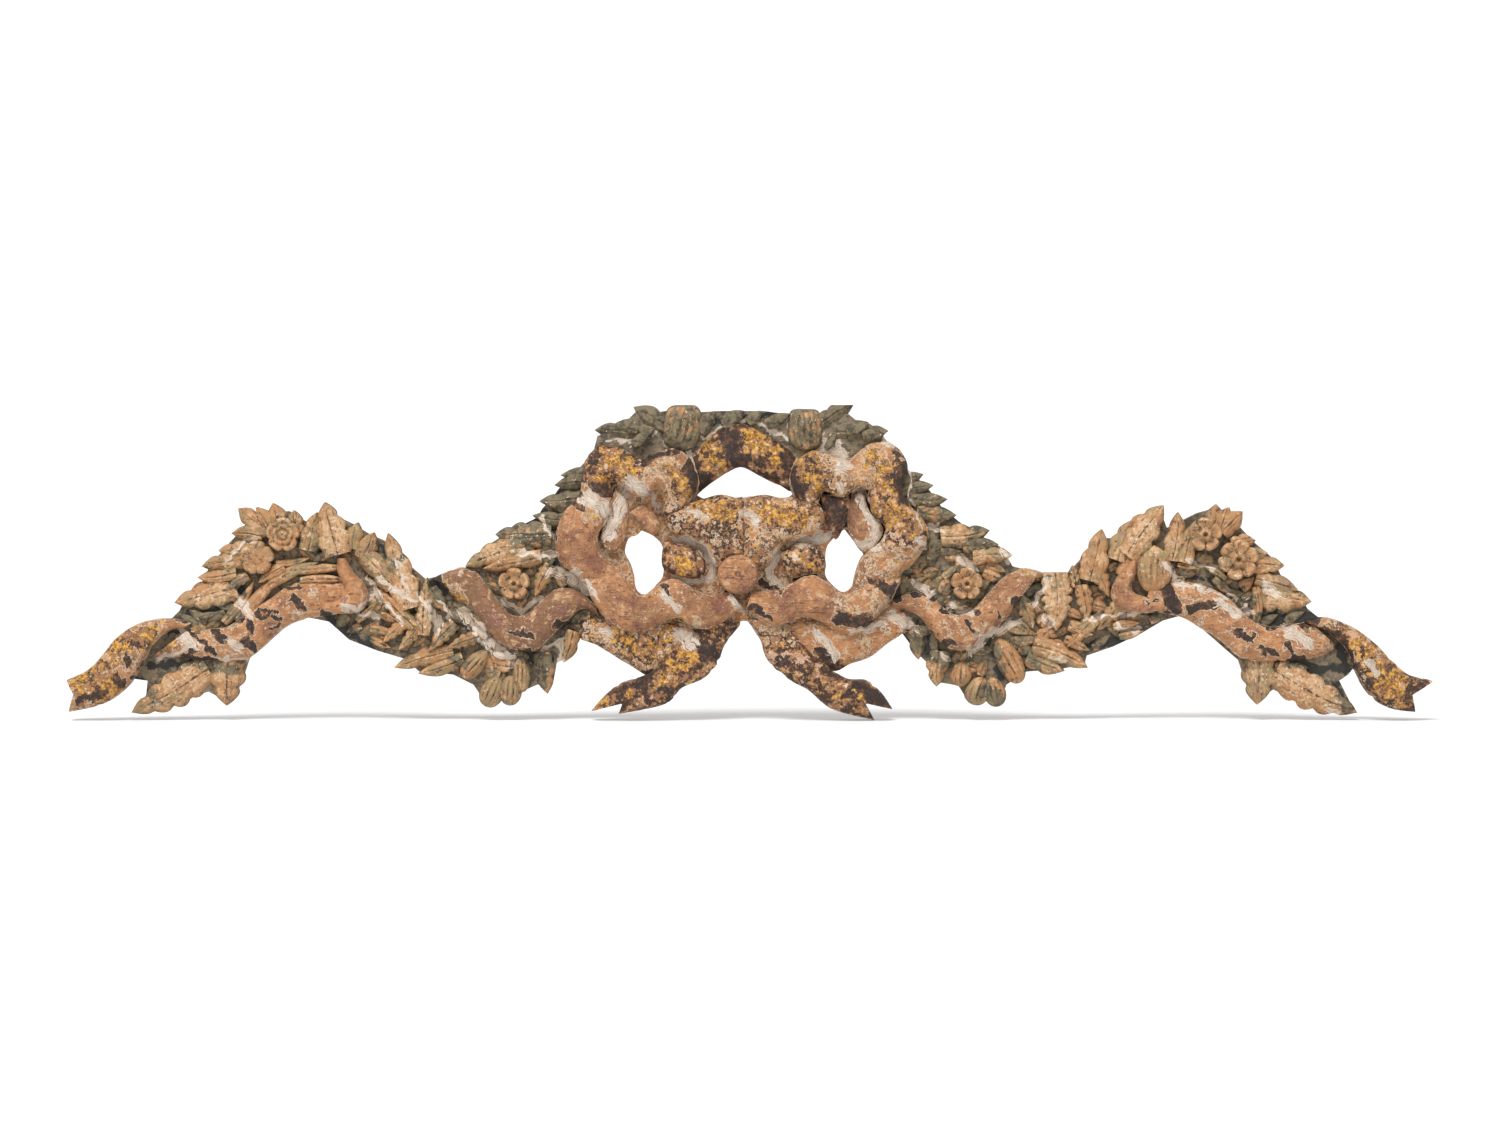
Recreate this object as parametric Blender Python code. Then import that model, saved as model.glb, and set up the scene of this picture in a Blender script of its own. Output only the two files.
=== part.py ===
"""Carved and gilded wooden wall ornament: a ribbon bow over a garland, with two waving ends.

The whole ornament is one carved board, so it is one solid. X runs along its length, Z is up,
the carved face looks towards -Y and the flat back lies on Y = 0, against the wall.
Places and sizes in the tables are millimetres: x along, z up, and height out from the back.
"""

import bpy
import bmesh
import math

for old in list(bpy.data.objects):
    bpy.data.objects.remove(old, do_unlink=True)

# Driving dimensions, millimetres unless said otherwise
MM = 0.001
LENGTH = 1362.0             # from ribbon tip to ribbon tip
SCALE = LENGTH / 1362.0     # the tables below are laid out for a length of 1362
SUNK = 4.0                  # how far each form runs behind the back before the back is planed flat
GROUND_HIGH = 17.0          # the plain ground between the leaves
BOW_GROUND_HIGH = 24.0      # the thicker ground under the bow
BACK_DRAFT = 0.90           # leaves are a little narrower at the back than at the front
RIBBON_EDGE_DROP = 12.0     # how far a ribbon's edge lies under its crown
RIBBON_FLAT = 0.24          # share of the ribbon's width taken by each rounded side
LEAF_EDGE_DROP = 5.0        # how far a leaf's edge lies under its midrib
LEAF_TIP_DROP = 7.0         # how far a leaf's tip droops under its middle
TOOTH_CUT = 0.24            # depth of the cuts between the teeth of a leaf, share of half width
FLOWER_CUT = 0.17           # depth of the cut between petals, share of the radius
PETAL_DROP = 6.0            # how far a petal's rim lies under its crown
PETAL_CUP = 4.0             # how deep the cup round the flower's eye is
POD_DROP = 11.0             # how far the foot of a pod's rounding lies under its crown
HOLE_STEP = 11.0            # spacing of the corners round a pierced hole
BUTTON_RADIUS = 20.0
BUTTON_HIGH = 46.0
BUTTON_ROUND = 2.6          # rounding of the button's rim
BUTTON_RING = 5.0
BUTTON_RING_STEP = 1.0
BUTTON_HOLE = 2.6
BUTTON_SIDES = 16
STATION_STEP = 13.0         # spacing of the cross-sections along a ribbon
FACETS_KEPT = 0.70          # share of the facets kept once the forms have grown together

wood = bpy.data.materials.new("worn gilded wood")
wood.use_nodes = True
surface = wood.node_tree.nodes["Principled BSDF"]
surface.inputs["Base Color"].default_value = (0.41, 0.21, 0.10, 1.0)
surface.inputs["Roughness"].default_value = 0.62

carving = bpy.data.collections.new("carved forms")
cuts = bpy.data.collections.new("cut forms")
bpy.context.scene.collection.children.link(carving)
bpy.context.scene.collection.children.link(cuts)


def solid(name, points, faces, home):
    """Make one closed body from (x, height, z) points in millimetres, faces turned outward."""
    body = bmesh.new()
    placed = [body.verts.new((x * MM, -h * MM, z * MM)) for x, h, z in points]
    for face in faces:
        body.faces.new([placed[i] for i in face])
    bmesh.ops.recalc_face_normals(body, faces=body.faces)
    data = bpy.data.meshes.new(name)
    body.to_mesh(data)
    body.free()
    data.materials.append(wood)
    made = bpy.data.objects.new(name, data)
    home.objects.link(made)
    if home is not bpy.context.scene.collection:
        made.hide_render = True
    return made


def sized(value):
    """Bring a number, or a row of numbers, from the tables to the chosen length."""
    if isinstance(value, (int, float)):
        return value * SCALE
    return tuple(sized(part) for part in value)


def curve_through(points, count):
    """A smooth line through the points, as `count` points evenly spaced along it."""
    ends = [points[0]] + list(points) + [points[-1]]
    fine = []
    for i in range(1, len(ends) - 2):
        a, b, c, d = ends[i - 1], ends[i], ends[i + 1], ends[i + 2]
        for k in range(8):
            t = k / 8.0
            fine.append(tuple(
                0.5 * (2 * q + (r - p) * t + (2 * p - 5 * q + 4 * r - s) * t * t
                       + (3 * q - p - 3 * r + s) * t ** 3)
                for p, q, r, s in zip(a, b, c, d)))
    fine.append(tuple(points[-1]))
    reach = [0.0]
    for p, q in zip(fine, fine[1:]):
        reach.append(reach[-1] + math.dist(p, q))
    line = []
    at = 0
    for k in range(count):
        want = reach[-1] * k / (count - 1)
        while at < len(fine) - 2 and reach[at + 1] < want:
            at += 1
        part = (want - reach[at]) / max(reach[at + 1] - reach[at], 1e-9)
        line.append(tuple(p + (q - p) * part for p, q in zip(fine[at], fine[at + 1])))
    return line


def height_along(heights, share):
    """Read a row of heights, evenly spread from 0 to 1, at one share of the way along."""
    place = share * (len(heights) - 1)
    low = min(int(place), len(heights) - 2)
    turn = place - low
    turn = turn * turn * (3 - 2 * turn)
    return heights[low] + (heights[low + 1] - heights[low]) * turn


def ribbon(name, upper, lower, heights, notch=0.0):
    """A crowned ribbon between two edges; `notch` cuts a swallow tail into its far end."""
    length = 0.5 * (sum(map(math.dist, upper, upper[1:])) + sum(map(math.dist, lower, lower[1:])))
    count = max(4, round(length / STATION_STEP) + 1)
    rows = []
    above = curve_through(upper, count)
    below = curve_through(lower, count)
    across = ((0.0, 1.0), (RIBBON_FLAT, 0.22), (0.5, 0.0), (1 - RIBBON_FLAT, 0.22), (1.0, 1.0))
    for k in range(count):
        high = height_along(heights, k / (count - 1))
        (ux, uz), (lx, lz) = above[k], below[k]
        back_x = back_z = 0.0
        if notch and k == count - 1:
            px, pz = [(u + l) / 2 for u, l in zip(above[k - 1], below[k - 1])]
            run = math.dist((px, pz), ((ux + lx) / 2, (uz + lz) / 2))
            back_x = (px - (ux + lx) / 2) / run * notch
            back_z = (pz - (uz + lz) / 2) / run * notch
        row = []
        for t, drop in across:
            pull = 1 - abs(2 * t - 1)
            row.append((ux + (lx - ux) * t + back_x * pull,
                        high - RIBBON_EDGE_DROP * drop,
                        uz + (lz - uz) * t + back_z * pull))
        for t in (1.0, 0.5, 0.0):
            pull = 1 - abs(2 * t - 1)
            row.append((ux + (lx - ux) * t + back_x * pull, -SUNK, uz + (lz - uz) * t + back_z * pull))
        rows.append(row)
    ring = len(rows[0])
    points = [p for row in rows for p in row]
    faces = []
    for k in range(count - 1):
        for j in range(ring):
            a, b = k * ring + j, k * ring + (j + 1) % ring
            faces.append((a, b, b + ring))
            faces.append((a, b + ring, a + ring))
    for start in (0, (count - 1) * ring):
        left = (0, 1, 2, 6, 7)
        right = (2, 3, 4, 5, 6)
        faces.append([start + i for i in left])
        faces.append([start + i for i in right])
    return solid(name, points, faces, carving)


def pad(name, outline, edge, crown, count=12, inner=0.6):
    """A swelling form inside a closed smooth outline: a wall, a rounded shoulder and a crown."""
    rim = curve_through(list(outline) + [outline[0]], count + 1)[:-1]
    cx = sum(p[0] for p in rim) / count
    cz = sum(p[1] for p in rim) / count
    points = [(x, -SUNK, z) for x, z in rim]
    points += [(x, edge, z) for x, z in rim]
    shoulder = edge + (crown - edge) * 0.78
    points += [(cx + (x - cx) * inner, shoulder, cz + (z - cz) * inner) for x, z in rim]
    points.append((cx, crown, cz))
    faces = [tuple(range(count))]
    for k in range(count):
        n = (k + 1) % count
        faces.append((k, n, count + n, count + k))
        faces.append((count + k, count + n, 2 * count + n))
        faces.append((count + k, 2 * count + n, 2 * count + k))
        faces.append((2 * count + k, 2 * count + n, 3 * count))
    return solid(name, points, faces, carving)


def plate(name, outline, high, home=carving, low=-SUNK, step=0):
    """A flat board of constant thickness inside a closed outline."""
    rim = list(outline)
    if step:
        around = sum(map(math.dist, rim, rim[1:] + rim[:1]))
        count = round(around / step)
        rim = curve_through(rim + [rim[0]], count + 1)[:-1]
    count = len(rim)
    points = [(x, low, z) for x, z in rim] + [(x, high, z) for x, z in rim]
    faces = [tuple(range(count)), tuple(range(count, 2 * count))]
    for k in range(count):
        n = (k + 1) % count
        faces.append((k, n, count + n, count + k))
    return solid(name, points, faces, home)


def leaf(name, tip, base, width, high, teeth):
    """A leaf blade from base to tip: a roof along the midrib, and cut teeth down both sides."""
    tx, tz = tip
    bx, bz = base
    long = math.dist(tip, base)
    ax, az = (tx - bx) / long, (tz - bz) / long
    sx, sz = -az, ax
    steps = max(3, 2 * teeth + 1)
    sides = ([], [])
    rib = []
    for k in range(steps):
        t = k / steps
        spread = math.sin(math.pi * (0.16 + 0.84 * t) ** 0.85) ** 0.8
        half = 0.5 * width * spread
        if teeth and k % 2 == 0 and k > 0:
            half *= 1 - TOOTH_CUT
        lean = 0.0 if k % 2 == 0 else 0.05 * long
        top = high - LEAF_TIP_DROP * max(0.0, t - 0.35) ** 1.5
        along = long * t
        rib.append((bx + ax * along, top, bz + az * along))
        for side, sign in zip(sides, (1, -1)):
            side.append((bx + ax * (along + lean) + sx * half * sign, top - LEAF_EDGE_DROP,
                         bz + az * (along + lean) + sz * half * sign))
    point = (tx, high - LEAF_TIP_DROP, tz)
    rim = sides[0] + [point] + sides[1][::-1]
    count = len(rim)
    mx, mz = (tx + bx) / 2, (tz + bz) / 2
    back = []
    for x, h, z in rim:
        back.append((mx + (x - mx) * BACK_DRAFT, -SUNK, mz + (z - mz) * BACK_DRAFT))
    points = back + rim + rib
    faces = [tuple(range(count))]
    for k in range(count):
        n = (k + 1) % count
        faces.append((k, n, count + n))
        faces.append((k, count + n, count + k))
    for k in range(steps - 1):
        a, b = 2 * count + k, 2 * count + k + 1
        faces.append((count + k, count + k + 1, b))
        faces.append((count + k, b, a))
        left, right = 2 * count - 1 - k, 2 * count - 2 - k
        faces.append((left, right, b))
        faces.append((left, b, a))
    last = 2 * count + steps - 1
    faces.append((count + steps - 1, count + steps, last))
    faces.append((count + steps, count + steps + 1, last))
    faces.append((2 * count - 1, count, 2 * count))
    return solid(name, points, faces, carving)


def rings(name, x, z, profile, count, cut=0.0, turn=0.0):
    """A round form from (radius, height) rings; `cut` notches every third point of the outer rings."""
    points = []
    for level, (radius, high) in enumerate([(profile[0][0], -SUNK)] + list(profile)):
        for k in range(count):
            angle = turn + 2 * math.pi * k / count
            r = radius * (1 - cut) if k % 3 == 0 and level < 3 else radius
            points.append((x + r * math.cos(angle), high, z + r * math.sin(angle)))
    centre_high = profile[-1][1]
    points.append((x, centre_high, z))
    faces = [tuple(range(count))]
    for level in range(len(profile)):
        for k in range(count):
            a, b = level * count + k, level * count + (k + 1) % count
            faces.append((a, b, b + count))
            faces.append((a, b + count, a + count))
    last = len(profile) * count
    for k in range(count):
        faces.append((last + k, last + (k + 1) % count, last + count))
    return solid(name, points, faces, carving)


def flower(name, x, z, radius, petals, high):
    """Cupped petals round a ring with a drilled eye."""
    profile = ((radius, high - PETAL_DROP), (radius * 0.78, high), (radius * 0.46, high - PETAL_CUP),
               (radius * 0.34, high), (radius * 0.16, high), (radius * 0.14, high - PETAL_CUP))
    return rings(name, x, z, profile, 3 * petals, FLOWER_CUT, 0.3)


def pod(name, start, end, width, high):
    """A swelling seed pod or bud along an axis, blunt at the start and pointed at the end."""
    (x0, z0), (x1, z1) = start, end
    long = math.dist(start, end)
    ax, az = (x1 - x0) / long, (z1 - z0) / long
    outline = []
    for k in range(10):
        angle = 2 * math.pi * k / 10
        along = 0.5 - 0.5 * math.cos(angle)
        half = 0.5 * width * math.sin(angle) * (1.12 - 0.24 * along)
        outline.append((x0 + ax * long * along - az * half, z0 + az * long * along + ax * half))
    return pad(name, outline, high - POD_DROP, high, 10, 0.62)


# The plain ground the leaves are carved on, left garland, bow, right garland
GROUND_LEFT = (
    (-578, -47), (-569, -38), (-560, -20), (-547, -10), (-541, 2), (-527, 15), (-519, 30), (-505, 44),
    (-499, 58), (-480, 60), (-460, 61), (-446, 52), (-430, 46), (-413, 56), (-396, 48), (-380, 38),
    (-366, 32), (-352, 22), (-338, 5), (-324, -7), (-300, -1), (-278, 7), (-262, 27), (-238, 42),
    (-212, 55), (-207, 64), (-196, 76), (-186, 90), (-172, 102), (-156, 120), (-120, 60), (-130, -56),
    (-158, -69), (-172, -65), (-180, -85), (-193, -90), (-197, -112), (-212, -112), (-226, -118),
    (-250, -128), (-268, -124), (-276, -112), (-296, -102), (-330, -99), (-345, -86), (-372, -78),
    (-400, -67), (-420, -49), (-440, -45), (-460, -51), (-480, -69), (-500, -86), (-508, -110),
    (-524, -128), (-540, -119), (-556, -124), (-570, -132), (-604, -136), (-601, -108), (-616, -106),
    (-600, -78), (-585, -60))
GROUND_RIGHT = (
    (578, -48), (566, -44), (556, -36), (546, -16), (530, -4), (522, 14), (503, 30), (488, 46),
    (486, 58), (464, 64), (446, 59), (432, 52), (416, 44), (410, 60), (394, 56), (378, 47), (362, 34),
    (350, 34), (334, 17), (322, 4), (312, -5), (290, -1), (262, 6), (252, 24), (234, 34), (212, 48),
    (192, 64), (176, 86), (158, 102), (150, 118), (110, 60), (120, -56), (152, -61), (166, -80),
    (182, -95), (190, -110), (208, -113), (216, -126), (250, -128), (256, -112), (276, -99), (312, -96),
    (334, -92), (336, -83), (362, -74), (390, -61), (412, -48), (430, -43), (450, -55), (474, -76),
    (488, -88), (496, -112), (508, -126), (522, -117), (546, -128), (570, -137), (596, -142),
    (598, -128), (588, -108), (597, -102), (603, -94), (594, -76), (585, -62))
GROUND_BOW = (
    (-158, 112), (-152, 136), (-126, 148), (-114, 160), (-98, 159), (-84, 161), (-48, 160), (-30, 161),
    (14, 161), (36, 158), (72, 158), (98, 158), (108, 150), (130, 142), (134, 134), (152, 114),
    (150, 20), (150, -40), (100, -70), (40, -56), (-6, -48), (-40, -56), (-100, -70), (-150, -40),
    (-165, 20))

# The ribbons: upper edge, lower edge, then crown heights spread evenly along the run
RIBBONS = {
    "wing left": (
        ((-556, -54), (-540, -56), (-520, -53), (-497, -37), (-478, -26), (-458, -12), (-435, -9), (-405, -8)),
        ((-596, -84), (-570, -85), (-540, -88), (-505, -87), (-485, -74), (-468, -58), (-445, -47), (-400, -40)),
        (26, 32, 34, 36, 34, 30)),
    "wing right": (
        ((556, -48), (540, -52), (520, -54), (498, -46), (480, -28), (458, -15), (435, -10), (400, -8)),
        ((587, -75), (565, -85), (530, -88), (492, -86), (468, -67), (450, -56), (428, -44), (392, -38)),
        (26, 32, 35, 36, 34, 30)),
    "scroll left": (
        ((-402, 15), (-395, 0), (-385, -10), (-380, -25), (-387, -38), (-404, -41), (-424, -40)),
        ((-412, 14), (-412, 4), (-408, -6), (-404, -14), (-406, -22), (-412, -27), (-424, -28)),
        (30, 36, 38, 34)),
    "scroll right": (
        ((378, 15), (365, -5), (359, -22), (366, -36), (384, -40), (412, -40)),
        ((387, 13), (384, -3), (380, -12), (383, -20), (394, -24), (412, -26)),
        (30, 36, 38, 34)),
    "swag left": (
        ((-317, -6), (-300, 2), (-285, 5), (-270, -2), (-252, -26), (-238, -42), (-222, -41), (-208, -28),
         (-194, -17), (-178, -16), (-156, -28)),
        ((-302, -12), (-296, -26), (-284, -31), (-270, -46), (-250, -69), (-230, -78), (-214, -78),
         (-200, -66), (-182, -48), (-166, -36), (-150, -44)),
        (24, 33, 36, 40, 40, 34, 28)),
    "swag right": (
        ((145, -22), (165, -19), (180, -22), (192, -34), (205, -42), (220, -38), (234, -24), (250, -7),
         (266, 3), (282, 3), (305, -5)),
        ((140, -38), (154, -38), (168, -43), (182, -61), (197, -75), (214, -77), (232, -66), (258, -43),
         (274, -22), (284, -9), (300, -11)),
        (28, 34, 40, 40, 36, 33, 24)),
    "tail end left": (
        ((-556, -50), (-575, -46), (-605, -49), (-630, -64), (-645, -82), (-660, -97), (-681, -107)),
        ((-566, -56), (-580, -59), (-596, -74), (-606, -94), (-622, -115), (-645, -131), (-679, -139)),
        (26, 36, 40, 38, 34)),
    "tail end right": (
        ((552, -48), (575, -45), (600, -54), (622, -70), (640, -88), (657, -102), (681, -108)),
        ((562, -53), (577, -61), (594, -76), (603, -98), (618, -122), (637, -135), (663, -139)),
        (26, 36, 40, 38, 34)),
    "crown arch": (
        ((-62, 117), (-45, 132), (-28, 144), (-8, 148), (12, 140), (32, 129), (52, 117)),
        ((-56, 74), (-44, 85), (-28, 97), (-8, 105), (12, 95), (28, 88), (46, 76)),
        (30, 36, 39, 36, 30)),
    "loop left": (
        ((-150, 128), (-163, 115), (-167, 96), (-170, 78), (-184, 62), (-193, 40), (-193, 20), (-186, 7),
         (-172, -4), (-160, -20)),
        ((-136, 112), (-139, 98), (-138, 85), (-137, 68), (-141, 53), (-150, 40), (-150, 24), (-140, 11),
         (-128, 0), (-120, -12)),
        (36, 42, 46, 46, 42, 38)),
    "loop right": (
        ((138, 131), (151, 120), (157, 104), (151, 82), (160, 68), (173, 52), (178, 36), (168, 16),
         (150, -3), (134, -20)),
        ((122, 112), (123, 100), (119, 88), (117, 72), (124, 55), (134, 46), (130, 32), (113, 18),
         (105, 0), (101, -20)),
        (36, 42, 46, 46, 42, 38)),
    "bulb left": (
        ((-150, 127), (-128, 124), (-112, 115), (-102, 114), (-88, 122), (-74, 124), (-60, 114), (-52, 96),
         (-54, 80), (-62, 66)),
        ((-152, 96), (-138, 90), (-126, 86), (-118, 79), (-108, 76), (-98, 82), (-90, 83), (-88, 76),
         (-87, 68), (-88, 58)),
        (38, 44, 47, 47, 42)),
    "bulb right": (
        ((138, 131), (118, 128), (105, 118), (94, 113), (80, 118), (64, 122), (48, 113), (40, 98),
         (42, 82), (50, 68)),
        ((148, 96), (132, 86), (118, 82), (110, 85), (102, 80), (92, 75), (82, 78), (74, 81),
         (70, 74), (70, 62)),
        (38, 44, 47, 47, 42)),
    "lower band left": (
        ((-164, -4), (-150, 3), (-138, 4), (-122, -8), (-115, -19), (-106, -23), (-90, -11), (-74, -6),
         (-56, -16), (-42, -22), (-20, -18)),
        ((-158, -26), (-152, -36), (-142, -48), (-126, -57), (-106, -59), (-90, -52), (-73, -45),
         (-56, -54), (-42, -56), (-28, -50), (-8, -34)),
        (40, 44, 43, 46, 45, 40)),
    "lower band right": (
        ((2, -18), (24, -18), (40, -11), (58, -2), (72, -6), (88, -18), (97, -21), (110, -14), (126, -2),
         (150, -4)),
        ((-4, -36), (10, -48), (24, -54), (40, -49), (55, -44), (72, -50), (88, -59), (106, -62),
         (122, -50), (138, -28)),
        (40, 45, 46, 43, 44, 40)),
    "tail left": (
        ((-58, -50), (-76, -74), (-100, -100), (-129, -111), (-145, -123), (-158, -138)),
        ((-8, -50), (-25, -72), (-32, -90), (-46, -105), (-68, -115), (-85, -131), (-131, -141)),
        (32, 38, 40, 38, 34)),
    "tail right": (
        ((40, -50), (56, -74), (74, -91), (96, -106), (116, -108), (131, -120), (142, -136)),
        ((-4, -46), (9, -66), (18, -88), (38, -106), (58, -117), (82, -136), (124, -147)),
        (32, 38, 40, 38, 34)),
}
NOTCHES = {"tail end left": 7.0, "tail end right": 13.0, "tail left": 20.0, "tail right": 22.0}

# Swelling forms: outline, edge height, crown height
PADS = {
    "knot lobe left": (
        ((-6, 16), (-6, 69), (-16, 73), (-30, 76), (-46, 72), (-64, 67), (-84, 58), (-78, 43), (-58, 34),
         (-44, 26), (-34, 8)), 34, 46),
    "knot lobe right": (
        ((-6, 16), (-6, 69), (3, 74), (16, 76), (30, 73), (46, 74), (64, 70), (74, 56), (66, 42),
         (48, 35), (32, 28), (14, 8)), 34, 46),
    "pillow left": (((-86, 32), (-62, 27), (-48, 20), (-45, 0), (-58, -6), (-86, 4)), 30, 39),
    "pillow right": (((30, 20), (48, 30), (64, 27), (74, 16), (74, 2), (58, -2), (38, -4)), 30, 39),
    "fold left": (((-134, 84), (-122, 70), (-122, 52), (-124, 36), (-134, 20), (-148, 30), (-146, 48),
                   (-140, 66)), 30, 35),
    "fold right": (((112, 82), (119, 62), (132, 46), (129, 31), (114, 20), (104, 30), (97, 48),
                    (99, 72)), 30, 35),
    "wedge left": (((-120, 60), (-108, 67), (-98, 62), (-89, 46), (-97, 38), (-108, 48)), 30, 37),
    "wedge right": (((70, 78), (97, 77), (98, 60), (92, 43), (85, 33), (77, 48)), 32, 40),
    "flank left": (((-168, -46), (-170, -65), (-157, -70), (-140, -80), (-122, -91), (-92, -104),
                    (-60, -74), (-56, -50), (-120, -46)), 22, 31),
    "flank right": (((152, -36), (158, -52), (152, -61), (138, -70), (120, -84), (100, -91), (80, -98),
                     (42, -78), (38, -50), (110, -46)), 22, 32),
    "scroll bud": (((402, 28), (388, 16), (385, -2), (394, -18), (410, -18), (420, -2), (416, 18)), 25, 35),
    "nut top left": (((-86, 128), (-86, 152), (-80, 165), (-66, 167), (-52, 165), (-47, 148), (-54, 126),
                      (-70, 120)), 24, 36),
    "nut top right": (((38, 128), (38, 152), (42, 162), (55, 163), (68, 161), (72, 146), (70, 126),
                       (54, 120)), 24, 36),
}

# Buds, seed pods and the small round lobes: blunt end, pointed end, width, height
PODS = (
    ((-287, -105), (-262, -78), 20, 30), ((-228, -120), (-228, -82), 18, 29),
    ((-264, -134), (-250, -104), 24, 27), ((-240, -133), (-238, -102), 22, 28),
    ((270, -110), (246, -66), 25, 31), ((210, -114), (211, -88), 22, 28),
    ((222, -132), (232, -104), 25, 28), ((248, -134), (240, -104), 22, 27),
)

# Flowers: x, z, radius, petals, height
FLOWERS = (
    (-465, 38, 17, 5, 34), (-491, 15, 17, 5, 33), (-235, -11, 16, 5, 34),
    (216, -11, 16, 5, 34), (453, 38, 17, 5, 34), (486, 13, 20, 6, 35),
)

# Leaves: tip, base, width, height of the midrib, teeth down each side
LEAVES = (
    ((-574, -30), (-512, -14), 27, 25, 3), ((-551, -5), (-512, 0), 16, 25, 1),
    ((-547, 6), (-502, 12), 19, 25, 2), ((-530, 22), (-496, 20), 18, 26, 2),
    ((-517, 39), (-486, 36), 16, 26, 1), ((-510, 64), (-478, 42), 22, 27, 2),
    ((-492, 65), (-476, 40), 18, 28, 1), ((-476, 69), (-468, 42), 20, 27, 1),
    ((-455, 62), (-452, 40), 18, 27, 1), ((-432, 60), (-440, 22), 21, 29, 2),
    ((-424, 70), (-410, 18), 31, 31, 3), ((-391, 50), (-396, 24), 18, 27, 1),
    ((-375, 40), (-386, 14), 20, 27, 1), ((-361, 39), (-340, -36), 27, 31, 3),
    ((-372, -15), (-334, -54), 14, 31, 0), ((-322, -5), (-326, -62), 16, 31, 0),
    ((-366, -70), (-338, -46), 13, 29, 0), ((-350, -77), (-328, -50), 12, 30, 0),
    ((-320, -78), (-294, -50), 14, 30, 0), ((-302, -76), (-270, -64), 13, 29, 0),
    ((-355, -95), (-296, -78), 18, 25, 2), ((-331, -101), (-286, -86), 16, 25, 1),
    ((-522, -19), (-500, -3), 11, 27, 0), ((-490, -10), (-464, 6), 13, 29, 0),
    ((-214, -24), (-198, 8), 15, 29, 0), ((-617, -140), (-540, -96), 33, 24, 4),
    ((-522, -133), (-520, -86), 33, 24, 2), ((-254, 38), (-198, 38), 24, 27, 3),
    ((-217, 57), (-178, 52), 15, 26, 1), ((-284, 6), (-224, 26), 24, 27, 3),
    ((-266, 4), (-208, 16), 16, 29, 1), ((-210, 71), (-162, 76), 18, 26, 2),
    ((-195, 87), (-154, 90), 16, 26, 1), ((-189, 97), (-148, 100), 14, 26, 1),
    ((-202, -121), (-208, -80), 20, 26, 2), ((-186, -90), (-176, -58), 15, 26, 1),
    ((-155, 142), (-106, 138), 19, 28, 2), ((-116, 165), (-82, 146), 19, 28, 1),
    ((-128, 152), (-96, 140), 14, 28, 1), ((-396, 26), (-356, -14), 22, 29, 1),
    ((-300, -40), (-318, -16), 14, 29, 0), ((-280, -40), (-256, -56), 12, 28, 0),
    ((103, 167), (70, 148), 18, 28, 1), ((138, 141), (84, 140), 19, 28, 3),
    ((118, 150), (86, 142), 12, 27, 1), ((173, 98), (142, 90), 14, 26, 1),
    ((183, 87), (148, 80), 14, 26, 1), ((197, 73), (156, 74), 16, 26, 1),
    ((206, 57), (166, 60), 18, 26, 1), ((239, 42), (190, 36), 22, 28, 2),
    ((248, 28), (212, 27), 16, 27, 1), ((262, 17), (222, 16), 18, 27, 1),
    ((186, -114), (190, -78), 21, 26, 2), ((168, -87), (164, -58), 15, 26, 1),
    ((337, -95), (282, -72), 22, 26, 2), ((314, -98), (276, -84), 18, 26, 1),
    ((305, -58), (304, 0), 28, 32, 0), ((336, -50), (330, -12), 15, 30, 0),
    ((358, -24), (340, 14), 16, 31, 0), ((322, 7), (326, -14), 12, 27, 0),
    ((351, 43), (338, -8), 25, 31, 2), ((381, 52), (366, 12), 24, 29, 2),
    ((412, 67), (374, 18), 31, 31, 3), ((427, 60), (420, 12), 21, 31, 2),
    ((444, 52), (432, 10), 18, 31, 1), ((465, 68), (462, 42), 20, 27, 1),
    ((478, 65), (468, 40), 17, 28, 1), ((491, 61), (470, 40), 20, 27, 1),
    ((504, 32), (480, 26), 18, 27, 1), ((516, 20), (488, 14), 16, 27, 1),
    ((533, 7), (494, 8), 19, 27, 2), ((547, -18), (504, -6), 18, 26, 1),
    ((560, -29), (502, -22), 28, 25, 3), ((606, -140), (524, -98), 34, 24, 4),
    ((506, -132), (508, -84), 31, 24, 2), ((506, -60), (506, -16), 11, 28, 0),
    ((282, -56), (268, -24), 15, 28, 0), ((345, -58), (372, -28), 16, 29, 0),
    ((390, 36), (372, -4), 20, 29, 1), ((316, -74), (344, -46), 15, 29, 0),
)

# The pierced holes beside and above the knot
HOLES = {
    "hole above": ((-53, 77), (-44, 85), (-33, 93), (-20, 101), (-8, 105), (10, 96), (24, 89), (38, 84),
                   (43, 79), (36, 74), (24, 74), (10, 76), (3, 74), (-6, 69), (-15, 73), (-30, 76),
                   (-44, 73)),
    "hole left": ((-108, 42), (-97, 37), (-88, 28), (-86, 14), (-87, -4), (-95, -14), (-99, -21),
                  (-108, -22), (-114, -16), (-116, -2), (-120, 10), (-125, 20), (-121, 34), (-113, 37)),
    "hole right": ((94, 43), (101, 34), (113, 18), (108, 6), (104, -4), (102, -14), (94, -20),
                   (87, -17), (76, -5), (75, 6), (76, 24), (82, 33), (89, 40)),
}

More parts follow.
